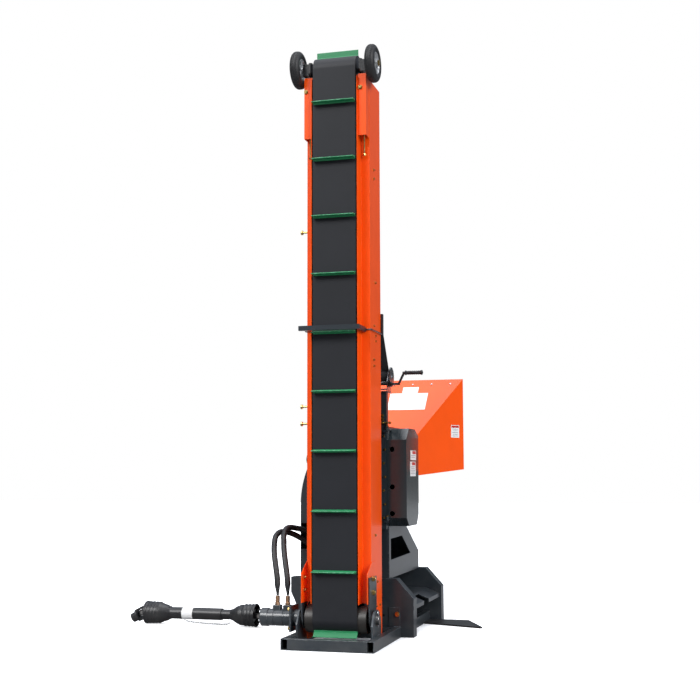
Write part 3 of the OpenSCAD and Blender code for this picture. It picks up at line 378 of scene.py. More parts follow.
ZINC = Finish("Bright zinc plate", "zinc", (0.52, 0.53, 0.55), roughness=0.25, metallic=1.0,
              shade=0.8, fine_scale=300.0, wear_and_highlight=0.1, dust=0.03)
GOLD = Finish("Yellow zinc plate", "gold_zinc", (0.62, 0.44, 0.16), roughness=0.24, metallic=1.0,
              shade=0.7, patch_scale=60.0, wear_and_highlight=0.1, dust=0.03)
COPPER = Finish("Copper-tinted zinc plate", "gold_zinc", (0.55, 0.33, 0.2), roughness=0.3,
                metallic=1.0, shade=0.75, patch_scale=50.0, wear_and_highlight=0.1, dust=0.03)
BELT = Finish("Belt rubber", "belt_rubber", (0.009, 0.0098, 0.013), roughness=0.52,
              shade=0.85, fine_scale=700.0, patch_scale=3.0, relief=0.1, wear_and_highlight=0.2,
              bare_and_highlight=(0.04, 0.04, 0.04), dust=0.01, reach=0.6, specular=0.3)
# Painted highlight: the light green given to the cleats' rounded edges stands for light on the
# edges; the polymer has no paler layer.
GREEN = Finish("Green cleat polymer", "green_plastic", (0.008, 0.2, 0.068), roughness=0.34,
               shade=0.85, relief=0.05, wear_and_highlight=0.8, bare_and_highlight=(0.12, 0.42, 0.24), dust=0.02)
TYRE = Finish("Tyre rubber", "tyre", (0.012, 0.012, 0.013), roughness=0.55, shade=0.7,
              fine_scale=300.0, relief=0.2, wear_and_highlight=0.4, bare_and_highlight=(0.05, 0.05, 0.05), dust=0.03)
RIM = Finish("Silver enamel", "rim_paint", (0.42, 0.43, 0.44), roughness=0.28, shade=0.9,
             metallic=0.5, wear_and_highlight=0.3, bare_and_highlight=(0.2, 0.2, 0.2), coat=0.3, dust=0.03)
GUARD = Finish("Moulded black plastic", "black_plastic", (0.0065, 0.0068, 0.0085), roughness=0.38,
               shade=0.85, fine_scale=250.0, relief=0.08, wear_and_highlight=0.35, bare_and_highlight=(0.05, 0.05, 0.055),
               dust=0.06, reach=0.16)
SLEEVE = WovenFinish("Braided hose sleeve", "hose_rubber", (0.012, 0.012, 0.013), roughness=0.5,
                     relief=0.5, relief_depth=0.0006, across=16.0, along=260.0, dust=0.03)
WEBBING = WovenFinish("Woven webbing", "webbing", (0.016, 0.016, 0.018), roughness=0.7,
                      relief=0.4, relief_depth=0.0006, across=14.0, along=110.0, dust=0.03)
LABEL = Finish("White label film", "zinc", (0.78, 0.78, 0.77), roughness=0.35, shade=0.96,
               wear_and_highlight=0.0, dust=0.02)
LABEL_RED = Finish("Red label band", "orange_paint", (0.5, 0.02, 0.015), roughness=0.35,
                   wear_and_highlight=0.0, dust=0.02)
LABEL_GREY = Finish("Grey label print", "frame_paint", (0.2, 0.21, 0.24), roughness=0.4,
                    wear_and_highlight=0.0, dust=0.02)


# ---------------------------------------------------------------- the bench


class Bench:
    """Modelling steps shared by all the pieces."""

    @staticmethod
    def clear() -> None:
        """Leave edit mode and deselect everything."""
        if bpy.context.object and bpy.context.object.mode != "OBJECT":
            bpy.ops.object.mode_set(mode="OBJECT")
        bpy.ops.object.select_all(action="DESELECT")

    @staticmethod
    def pick(*pieces: bpy.types.Object) -> None:
        """Select these pieces only, the first one active."""
        Bench.clear()
        for piece in pieces:
            piece.select_set(True)
        bpy.context.view_layer.objects.active = pieces[0]

    @staticmethod
    def named(name: str) -> bpy.types.Object:
        """Name the piece that was just added, fix its place in its mesh and return it."""
        piece = bpy.context.object
        piece.name = name
        piece.data.name = name
        bpy.ops.object.transform_apply(location=True, rotation=True, scale=True)
        return piece

    @staticmethod
    def modify(piece: bpy.types.Object, kind: str, **settings: object) -> None:
        """Add a modifier with these settings and apply it."""
        Bench.pick(piece)
        modifier = piece.modifiers.new(kind.title(), kind)
        for key, value in settings.items():
            setattr(modifier, key, value)
        bpy.ops.object.modifier_apply(modifier=modifier.name)

    @staticmethod
    def edit(piece: bpy.types.Object) -> None:
        """Enter edit mode on a piece with everything in it selected."""
        Bench.pick(piece)
        bpy.ops.object.mode_set(mode="EDIT")
        bpy.ops.mesh.select_all(action="SELECT")

    @staticmethod
    def done() -> None:
        """Leave edit mode."""
        bpy.ops.object.mode_set(mode="OBJECT")

    @staticmethod
    def soften(piece: bpy.types.Object, width: float, steps: int = 2,
               angle: float = 32.0) -> bpy.types.Object:
        """Round the piece's edges, mark the rounded faces as edge and smooth its shading.

        Args:
            piece: A closed mesh.
            width: Width of the rounding, in metres.
            steps: Segments across the rounding.
            angle: Edges sharper than this many degrees are rounded.

        Returns:
            The same piece.
        """
        while len(piece.data.materials) < 2:
            piece.data.materials.append(None)
        for face in piece.data.polygons:
            face.material_index = 0
        Bench.modify(piece, "BEVEL", width=width, segments=steps, limit_method="ANGLE",
                     angle_limit=math.radians(angle), material=1, use_clamp_overlap=True,
                     miter_outer="MITER_ARC" if steps > 2 else "MITER_SHARP")
        edge = piece.data.attributes.new("edge", "FLOAT", "FACE")
        edge.data.foreach_set("value", [float(f.material_index) for f in piece.data.polygons])
        for face in piece.data.polygons:
            face.material_index = 0
        piece.data.materials.clear()
        return Bench.smooth(piece)

    @staticmethod
    def smooth(piece: bpy.types.Object, angle: float = 38.0) -> bpy.types.Object:
        """Smooth the shading of faces that meet at less than this many degrees."""
        Bench.pick(piece)
        bpy.ops.object.shade_smooth_by_angle(angle=math.radians(angle))
        Bench.modify(piece, "WEIGHTED_NORMAL", keep_sharp=True)
        return piece

    @staticmethod
    def block(name: str, low: Sequence[float], high: Sequence[float],
              width: float = 0.0015) -> bpy.types.Object:
        """Make a block between two corners, with rounded edges."""
        Bench.clear()
        low, high = Vector(low), Vector(high)
        bpy.ops.mesh.primitive_cube_add(size=1.0, location=(low + high) / 2,
                                        scale=high - low)
        return Bench.soften(Bench.named(name), min(width, 0.3 * min(high - low)))

    @staticmethod
    def turned(name: str, at: Sequence[float], axis: Axis | Vector,
               profile: Sequence[tuple[float, float]], sides: int = 48,
               ring: bool = False, soft: float = 0.0) -> bpy.types.Object:
        """Turn a profile about an axis, as on a lathe.

        Args:
            name: The piece's name.
            at: Where height 0 of the profile lies on the axis.
            axis: The axis; the profile's heights grow along it.
            profile: Radius and height of each ring, in metres.
            sides: Faces round the axis.
            ring: Join the last ring to the first, instead of closing both ends.
            soft: Rounding of the sharp rings, in metres.

        Returns:
            The closed piece.
        """
        Bench.clear()
        radius, height = profile[0]
        bpy.ops.mesh.primitive_circle_add(vertices=sides, radius=radius,
                                          location=(0, 0, height))
        piece = Bench.named(name)
        Bench.edit(piece)
        for last, following in zip(profile, profile[1:]):
            bpy.ops.mesh.extrude_edges_move(
                TRANSFORM_OT_translate={"value": (0, 0, following[1] - last[1])})
            grow = following[0] / last[0]
            bpy.ops.transform.resize(value=(grow, grow, 1.0),
                                     center_override=(0.0, 0.0, following[1]))
        if not ring:
            bpy.ops.mesh.edge_face_add()
        bpy.ops.mesh.select_all(action="DESELECT")
        bpy.ops.mesh.select_mode(type="EDGE")
        bpy.ops.mesh.select_non_manifold(extend=False, use_wire=False, use_boundary=True,
                                         use_multi_face=False, use_non_contiguous=False,
                                         use_verts=False)
        if ring:
            bpy.ops.mesh.bridge_edge_loops()
        else:
            bpy.ops.mesh.edge_face_add()
        bpy.ops.mesh.select_all(action="SELECT")
        bpy.ops.mesh.normals_make_consistent(inside=False)
        Bench.done()
        along = axis if isinstance(axis, Vector) else Vector(axis.value)
        turn = along.to_track_quat("Z", "Y").to_matrix().to_4x4()
        piece.matrix_world = Matrix.Translation(Vector(at)) @ turn
        bpy.ops.object.transform_apply(location=True, rotation=True, scale=True)
        return Bench.soften(piece, soft, 2, 40) if soft else Bench.smooth(piece)

    @staticmethod
    def copy_of(node: str, name: str) -> bpy.types.Object:
        """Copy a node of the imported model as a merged, closed mesh with whole flat faces."""
        Bench.clear()
        source = bpy.data.objects[node]
        piece = bpy.data.objects.new(name, source.data.copy())
        piece.data.name = name
        bpy.context.scene.collection.objects.link(piece)
        piece.data.materials.clear()
        Bench.pick(piece)
        bpy.ops.mesh.customdata_custom_splitnormals_clear()
        Bench.edit(piece)
        bpy.ops.mesh.remove_doubles(threshold=0.00002)
        Bench.done()
        return piece

    @staticmethod
    def curve(a: Point, b: Point, c: Point, d: Point, steps: int) -> list[Point]:
        """Points on a smooth curve from a to d, pulled towards b and c on the way.

        Args:
            a: Where the curve starts.
            b: What it heads for at first.
            c: What it comes from at last.
            d: Where it ends.
            steps: Number of steps between the points.

        Returns:
            The points, in the same unit.
        """
        points = []
        for k in range(steps + 1):
            t = k / steps
            share = ((1 - t) ** 3, 3 * (1 - t) ** 2 * t, 3 * (1 - t) * t * t, t ** 3)
            points.append(tuple(sum(w * p[axis] for w, p in zip(share, (a, b, c, d)))
                                for axis in range(3)))
        return points

    @staticmethod
    def plate(name: str, origin: Sequence[float], right: Sequence[float],
              upward: Sequence[float], size: tuple[float, float], thick: float,
              corner: float = 0.002) -> bpy.types.Object:
        """Make a thin plate that lies on a surface.

        Args:
            name: The piece's name.
            origin: The middle of the plate, on the surface.
            right: Direction of its width.
            upward: Direction of its height.
            size: Width and height, in metres.
            thick: Thickness, in metres.
            corner: Radius of its corners.

        Returns:
            The plate.
        """
        Bench.clear()
        bpy.ops.mesh.primitive_cube_add(size=1.0, location=(0, 0, thick / 2),
                                        scale=(size[0], size[1], thick))
        piece = Bench.named(name)
        Bench.edit(piece)
        bpy.ops.mesh.select_all(action="DESELECT")
        Bench.done()
        for edge in piece.data.edges:
            a, b = (piece.data.vertices[v].co for v in edge.vertices)
            edge.select = abs(a.z - b.z) > thick / 2
        bpy.ops.object.mode_set(mode="EDIT")
        bpy.ops.mesh.select_mode(type="EDGE")
        bpy.ops.mesh.bevel(offset=corner, segments=4, affect="EDGES")
        Bench.done()
        x = Vector(right).normalized()
        z = x.cross(Vector(upward)).normalized()
        turn = Matrix((x, z.cross(x), z)).transposed().to_4x4()
        piece.data.transform(Matrix.Translation(Vector(origin)) @ turn)
        return piece

    @staticmethod
    def join(name: str, pieces: Sequence[bpy.types.Object]) -> bpy.types.Object:
        """Join pieces into one of this name."""
        Bench.pick(*pieces)
        bpy.ops.object.join()
        piece = bpy.context.object
        piece.name = name
        piece.data.name = name
        return piece

    @staticmethod
    def copies(piece: bpy.types.Object, places: Iterable[Matrix]) -> list[bpy.types.Object]:
        """Copy a piece to each place, each copy with its own mesh, and remove the first one."""
        made = []
        for number, place in enumerate(places):
            copy = bpy.data.objects.new(f"{piece.name}_{number}", piece.data.copy())
            copy.data.transform(place)
            bpy.context.scene.collection.objects.link(copy)
            made.append(copy)
        bpy.data.objects.remove(piece)
        return made

    @staticmethod
    def hexagon_bolt(name: str, size: float) -> bpy.types.Object:
        """Make a bolt head on its washer, standing on Z, with a chamfered hexagon.

        Args:
            name: The piece's name.
            size: Diameter of the thread, in metres.

        Returns:
            The bolt at the origin.
        """
        washer = Bench.turned(f"{name}_washer", (0, 0, 0), Axis.Z,
                              [(size * 0.98, 0), (size, size * 0.02), (size, size * 0.14),
                               (size * 0.94, size * 0.18)], 28)
        Bench.clear()
        bpy.ops.mesh.primitive_cylinder_add(vertices=6, radius=size * 0.9, depth=size * 0.66,
                                            location=(0, 0, size * 0.51))
        head = Bench.soften(Bench.named(f"{name}_head"), size * 0.06)
        dome = Bench.turned(f"{name}_crown", (0, 0, size * 0.84), Axis.Z,
                            [(size * 0.7, 0), (size * 0.66, size * 0.06),
                             (size * 0.3, size * 0.09)], 20)
        return Bench.join(name, [washer, head, dome])

    @staticmethod
    def tube(name: str, route: Sequence[Point], radius: float, sides: int = 20,
             spacing: float = 0.004) -> bpy.types.Object:
        """Sweep a round section along a smooth line through the route's points.

        Args:
            name: The piece's name.
            route: Points of the centreline, in metres.
            radius: Radius of the section.
            sides: Faces round the section.
            spacing: Distance between rings, about.

        Returns:
            The swept mesh, with a UV map that runs round it and along it.
        """
        Bench.clear()
        line = bpy.data.curves.new(name, "CURVE")
        line.dimensions = "3D"
        spline = line.splines.new("NURBS")
        spline.points.add(len(route) - 1)
        for point, place in zip(spline.points, route):
            point.co = (*place, 1.0)
        spline.order_u = 4
        spline.use_endpoint_u = True
        length = sum((Vector(b) - Vector(a)).length for a, b in zip(route, route[1:]))
        line.resolution_u = max(2, round(length / spacing / len(route)))
        line.bevel_depth = radius
        line.bevel_resolution = max(1, sides // 4 - 1)
        line.use_fill_caps = True
        piece = bpy.data.objects.new(name, line)
        bpy.context.scene.collection.objects.link(piece)
        Bench.pick(piece)
        bpy.ops.object.convert(target="MESH")
        return bpy.context.object


@dataclass
class Assembly:
    """A group of pieces that are made, dressed and attached together."""

    kit: ShaderKit
    body: str = "machine"
    count: int = 0

    def attach(self, piece: bpy.types.Object, finish: Finish, *stands_for: str,
               body: str | None = None) -> bpy.types.Object:
        """Dress a piece and let it ride on its body.

        Args:
            piece: The finished mesh.
            finish: Its finish.
            stands_for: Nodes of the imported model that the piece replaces.
            body: The body it rides on, when it isn't the assembly's own.

        Returns:
            The same piece.
        """
        piece.data.materials.clear()
        piece.data.materials.append(finish.material(self.kit))
        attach(piece, body or self.body)
        if stands_for:
            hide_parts(*stands_for)
        self.count += 1
        return piece

    def softened(self, node: str, finish: Finish, width: float, steps: int = 2,
                 body: str | None = None) -> bpy.types.Object:
        """Stand in for a node with a copy whose edges are rounded."""
        piece = Bench.soften(Bench.copy_of(node, f"{node}_finished"), width, steps)
        return self.attach(piece, finish, node, body=body)

    def bolts(self, name: str, size: float, places: Sequence[tuple[Point, Axis]],
              finish: Finish = GOLD, body: str | None = None) -> None:
        """Set a row of bolt heads, each on a face that looks along its axis."""
        if not places:
            return
        bolt = Bench.hexagon_bolt(name, size)
        spots = []
        for number, (at, axis) in enumerate(places):
            turn = Vector(axis.value).to_track_quat("Z", "Y").to_matrix().to_4x4()
            twist = Matrix.Rotation(math.radians(17 * number), 4, "Z")
            spots.append(Matrix.Translation(Vector(at)) @ turn @ twist)
        self.attach(Bench.join(name, Bench.copies(bolt, spots)), finish, body=body)

    def report(self) -> None:
        """Log how many pieces this assembly has made."""
        LOG.info("%s: %d pieces on %s", type(self).__name__, self.count, self.body)


# ---------------------------------------------------------------- hydraulics


@dataclass
class Hydraulics(Assembly):
    """Motor, fittings and sleeved hoses that turn the conveyor's drum."""

    hose_d: float = 0.036
    pressure_start: Point = (-0.350, 0.210, 0.262)
    pressure_peak: Point = (-0.409, 0.455, 0.597)
    pressure_end: Point = (-0.284, 0.650, 0.500)
    return_start: Point = (-0.291, 0.210, 0.262)
    return_peak: Point = (-0.374, 0.478, 0.620)
    return_end: Point = (-0.296, 0.650, 0.578)

    def _pressure_route(self) -> list[Point]:
        """Route of the hose at the motor's outer port."""
        x, y, z = self.pressure_start
        rise = Bench.curve((x, y, z + 0.03), (x, y, z + 0.17), (-0.436, 0.277, 0.597),
                           self.pressure_peak, 10)
        fall = Bench.curve(self.pressure_peak, (-0.393, 0.564, 0.597), (-0.308, 0.608, 0.536),
                           self.pressure_end, 8)
        return [self.pressure_start, *rise, *fall[1:]]

    def _return_route(self) -> list[Point]:
        """Route of the hose at the motor's inner port."""
        x, y, z = self.return_start
        rise = Bench.curve((x, y, z + 0.03), (x, y, z + 0.17), (-0.383, 0.298, 0.620),
                           self.return_peak, 10)
        fall = Bench.curve(self.return_peak, (-0.371, 0.548, 0.620), (-0.315, 0.600, 0.601),
                           self.return_end, 8)
        return [self.return_start, *rise, *fall[1:]]

    def build(self) -> None:
        """Make the hoses first, then the motor and its fittings."""
        self._hose("pressure", self._pressure_route())
        self._hose("return", self._return_route())
        self._motor()
        self._fittings()

    def _hose(self, role: str, route: Sequence[Point]) -> None:
        name = f"{role}_hose"
        piece = Bench.tube(f"{name}_sleeve", route, self.hose_d / 2 - 0.0004, 24, 0.005)
        self._crumple(piece, route)
        Bench.smooth(piece, 60)
        self.attach(piece, SLEEVE, name)

    def _crumple(self, piece: bpy.types.Object, route: Sequence[Point]) -> None:
        """Draw the loose sleeve in along spiral folds, and tightly at its lower end."""
        stops = [Vector(p) for p in route]
        spans = [(b - a).length for a, b in zip(stops, stops[1:])]
        for vertex in piece.data.vertices:
            best, along, foot = 1.0, 0.0, stops[0]
            run = 0.0
            for start, end, span in zip(stops, stops[1:], spans):
                t = min(1.0, max(0.0, (vertex.co - start).dot(end - start) / span ** 2))
                spot = start.lerp(end, t)
                if (vertex.co - spot).length < best:
                    best, along, foot = (vertex.co - spot).length, run + t * span, spot
                run += span
            out = vertex.co - foot
            angle = math.atan2(out.y, out.x)
            fold = 0.5 + 0.5 * math.sin(3 * angle + 46 * along + 2 * math.sin(17 * along))
            slow = 0.5 + 0.5 * math.sin(23 * along + angle)
            neck = min(1.0, max(0.0, (along - 0.008) / 0.05))
            vertex.co = foot + out * ((0.86 + 0.08 * fold + 0.06 * slow) * (0.45 + 0.55 * neck))

    def _motor(self) -> None:
        """Barrel with ring grooves, flange plate, mount collar, end cap and port block."""
        low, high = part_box("hydraulic_motor")
        centre_y, centre_z = (low.y + high.y) / 2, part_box("drive_drum")[0].z + 0.075
        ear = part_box("pivot_stubs")[0].x
        centre_y = (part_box("drive_drum")[0].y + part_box("drive_drum")[1].y) / 2
        flange, cap = ear - 0.035, low.x + 0.047
        at = (0.0, centre_y, centre_z)
        barrel = [(0.030, low.x), (0.046, low.x + 0.002), (0.0495, low.x + 0.006),
                  (0.0495, cap - 0.004), (0.046, cap), (0.046, cap + 0.03),
                  (0.0435, cap + 0.032), (0.0435, cap + 0.038), (0.046, cap + 0.04),
                  (0.046, cap + 0.085), (0.0435, cap + 0.087), (0.0435, cap + 0.093),
                  (0.046, cap + 0.095), (0.046, flange - 0.012), (0.03, flange - 0.011)]
        self.attach(Bench.turned("motor_barrel", at, Axis.X, barrel, 56), DARK,
                    "hydraulic_motor")
        plate = Bench.block("motor_flange", (flange - 0.012, centre_y - 0.07, centre_z - 0.07),
                            (flange, centre_y + 0.07, centre_z + 0.07), 0.004)
        self.attach(plate, DARK)
        collar = Bench.turned("motor_collar", at, Axis.X,
                              [(0.045, flange), (0.045, ear - 0.006), (0.043, ear)], 48)
        self.attach(collar, DARK)
        ports = (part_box("hose_fittings")[0].x + 0.015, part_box("hose_fittings")[1].x - 0.015)
        for number, x in enumerate(ports):
            boss = Bench.block(f"motor_port_{number}", (x - 0.022, centre_y - 0.022, centre_z),
                               (x + 0.022, centre_y + 0.022, 0.21), 0.004)
            self.attach(boss, DARK)
        self.bolts("motor_flange_bolts", 0.011,
                   [((flange - 0.012, centre_y + y, centre_z + z), Axis.BACK_X)
                    for y in (-0.052, 0.052) for z in (-0.052, 0.052)])
        self.bolts("motor_cap_bolts", 0.007,
                   [((low.x, centre_y + 0.034 * math.cos(a), centre_z + 0.034 * math.sin(a)),
                     Axis.BACK_X) for a in (0.5, 2.07, 3.64, 5.21)], ZINC)

    def _fittings(self) -> None:
        """A hexagon adaptor and a crimped ferrule under each hose."""
        low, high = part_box("hose_fittings")
        y = (low.y + high.y) / 2
        parts = []
        for x in (low.x + 0.015, high.x - 0.015):
            Bench.clear()
            bpy.ops.mesh.primitive_cylinder_add(vertices=6, radius=0.0148, depth=0.014,
                                                location=(x, y, low.z + 0.007))
            parts.append(Bench.soften(Bench.named("adaptor"), 0.001))
            ferrule = [(0.009, 0.012), (0.0115, 0.016)]
            for groove in range(5):
                base = 0.019 + groove * 0.0062
                ferrule += [(0.0128, base), (0.0128, base + 0.0035), (0.0116, base + 0.0045),
                            (0.0116, base + 0.0058)]
            parts.append(Bench.turned("ferrule", (x, y, low.z), Axis.Z,
                                      [(r, min(h, high.z - low.z)) for r, h in ferrule], 32))
        self.attach(Bench.join("hose_adaptors", parts), COPPER, "hose_fittings")


# ---------------------------------------------------------------- drive shaft


@dataclass
class DriveShaft(Assembly):
    """Jointed shaft with bell guards, its chain and the yoke for the tractor."""

    chain_route: tuple[Point, ...] = (
        (-1.165, 0.820, 0.031), (-1.150, 0.820, 0.026), (-1.125, 0.820, 0.022),
        (-1.095, 0.820, 0.019), (-1.060, 0.820, 0.017), (-1.025, 0.820, 0.015),
        (-0.990, 0.820, 0.014), (-0.955, 0.820, 0.013), (-0.925, 0.820, 0.012),
        (-0.900, 0.820, 0.013), (-0.880, 0.820, 0.016), (-0.866, 0.820, 0.022),
        (-0.856, 0.820, 0.030))

    def build(self) -> None:
        """Make the guards, the shafts, the joints and the chain."""
        self._guard("guard_machine", "machine_guard", -1.0)
        self._guard("guard_tractor", "tractor_guard", 1.0)
        for node, body in (("input_shaft", "input"), ("universal_cross", "cross"),
                           ("shaft_machine", "machine_shaft"),
                           ("shaft_tractor", "tractor_shaft"), ("tractor_cross", "yoke_cross"),
                           ("yoke_tractor", "tractor_yoke")):
            self.softened(node, STEEL if "cross" in node else BLACK, 0.0018, body=body)
        self._chain()
        self._label()

    def _guard(self, node: str, body: str, side: float) -> None:
        """Turn a bell with stiffening rings and its tube, in one shell."""
        low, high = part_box(node)
        mouth = high.x if side < 0 else low.x
        length = high.x - low.x
        centre = ((low.y + high.y) / 2, (low.z + high.z) / 2)
        bell = (high.y - low.y) / 2
        tube = 0.036 if side > 0 else 0.030
        wall = 0.003
        outer = [(bell - 0.0015, 0.0), (bell, 0.002), (bell, 0.008), (bell - 0.003, 0.011)]
        for rib in range(4):
            at = 0.02 + rib * 0.022
            outer += [(bell - 0.004 - 0.0006 * rib, at), (bell - 0.002 - 0.0006 * rib, at + 0.003),
                      (bell - 0.002 - 0.0006 * rib, at + 0.007),
                      (bell - 0.0045 - 0.0006 * rib, at + 0.01)]
        if side < 0:
            outer[-4:] = [(bell - 0.009, 0.088), (bell - 0.0125, 0.096)]
        outer += [(bell - 0.0135, 0.112), (bell - 0.017, 0.124), (tube + 0.012, 0.143),
                  (tube + 0.006, 0.15), (tube + 0.005, 0.158), (tube + 0.001, 0.163),
                  (tube, 0.168), (tube, length - 0.006), (tube - 0.0008, length)]
        inner = [(tube - wall, length), (tube - wall, 0.16), (tube, 0.146), (bell - 0.017, 0.122),
                 (bell - 0.008, 0.1), (bell - 0.0065, 0.05), (bell - 0.005, 0.0)]
        shell = Bench.turned(f"{node}_shell", (mouth, *centre), Axis.X if side > 0 else
                             Axis.BACK_X, outer + inner, 64, ring=True)
        self.attach(shell, GUARD, node, body=body)
        web = Bench.turned(f"{node}_web", (mouth, *centre),
                           Axis.X if side > 0 else Axis.BACK_X,
                           [(0.0256, 0.05), (bell - 0.006, 0.05), (bell - 0.007, 0.062),
                            (0.0256, 0.062)], 48, ring=True)
        self.attach(web, GUARD, body=body)
        screws = [Matrix.Translation((mouth + side * 0.155, *centre))
                  @ Matrix.Rotation(math.radians(60 * k + 30), 4, "X")
                  @ Matrix.Translation((0, 0, tube + 0.0035)) for k in range(6)]
        clip = Bench.block(f"{node}_clip", (-0.006, -0.005, -0.002), (0.006, 0.005, 0.003), 0.001)
        self.attach(Bench.join(f"{node}_clips", Bench.copies(clip, screws)), GUARD, body=body)

    def _chain(self) -> None:
        """Thread oval links along the chain's route, each turned a quarter from the last."""
        route = [Vector(p) for p in self.chain_route]
        spans = [(b - a).length for a, b in zip(route, route[1:])]
        total, pitch = sum(spans), 0.0155
        Bench.clear()
        bpy.ops.mesh.primitive_torus_add(major_radius=0.0062, minor_radius=0.0016,
                                         major_segments=12, minor_segments=6)
        link = Bench.named("guard_chain")
        Bench.edit(link)
        bpy.ops.transform.resize(value=(1.55, 0.85, 1.0), center_override=(0.0, 0.0, 0.0))
        Bench.done()
        Bench.smooth(link, 80)
        places = []
        for number in range(int(total / pitch)):
            want, index = (number + 0.5) * pitch, 0
            while want > spans[index] and index < len(spans) - 1:
                want -= spans[index]
                index += 1
            along = (route[index + 1] - route[index]).normalized()
            turn = along.to_track_quat("X", "Z").to_matrix().to_4x4()
            places.append(Matrix.Translation(route[index] + along * want) @ turn
                          @ Matrix.Rotation(math.radians(45 + 90 * (number % 2)), 4, "X"))
        chain = Bench.join("guard_chain", Bench.copies(link, places))
        self.attach(chain, BLACK, "safety_chain", body="machine_guard")

    def _label(self) -> None:
        """A blank label wrapped round the tractor guard's tube."""
        low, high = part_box("guard_tractor")
        at = (low.x + 0.245, (low.y + high.y) / 2, (low.z + high.z) / 2)
        band = Bench.turned("guard_label", at, Axis.X,
                            [(0.0361, 0.0), (0.0364, 0.0), (0.0364, 0.07), (0.0361, 0.07)], 48,
                            ring=True)
        self.attach(band, LABEL, body="tractor_guard")


# ---------------------------------------------------------------- conveyor


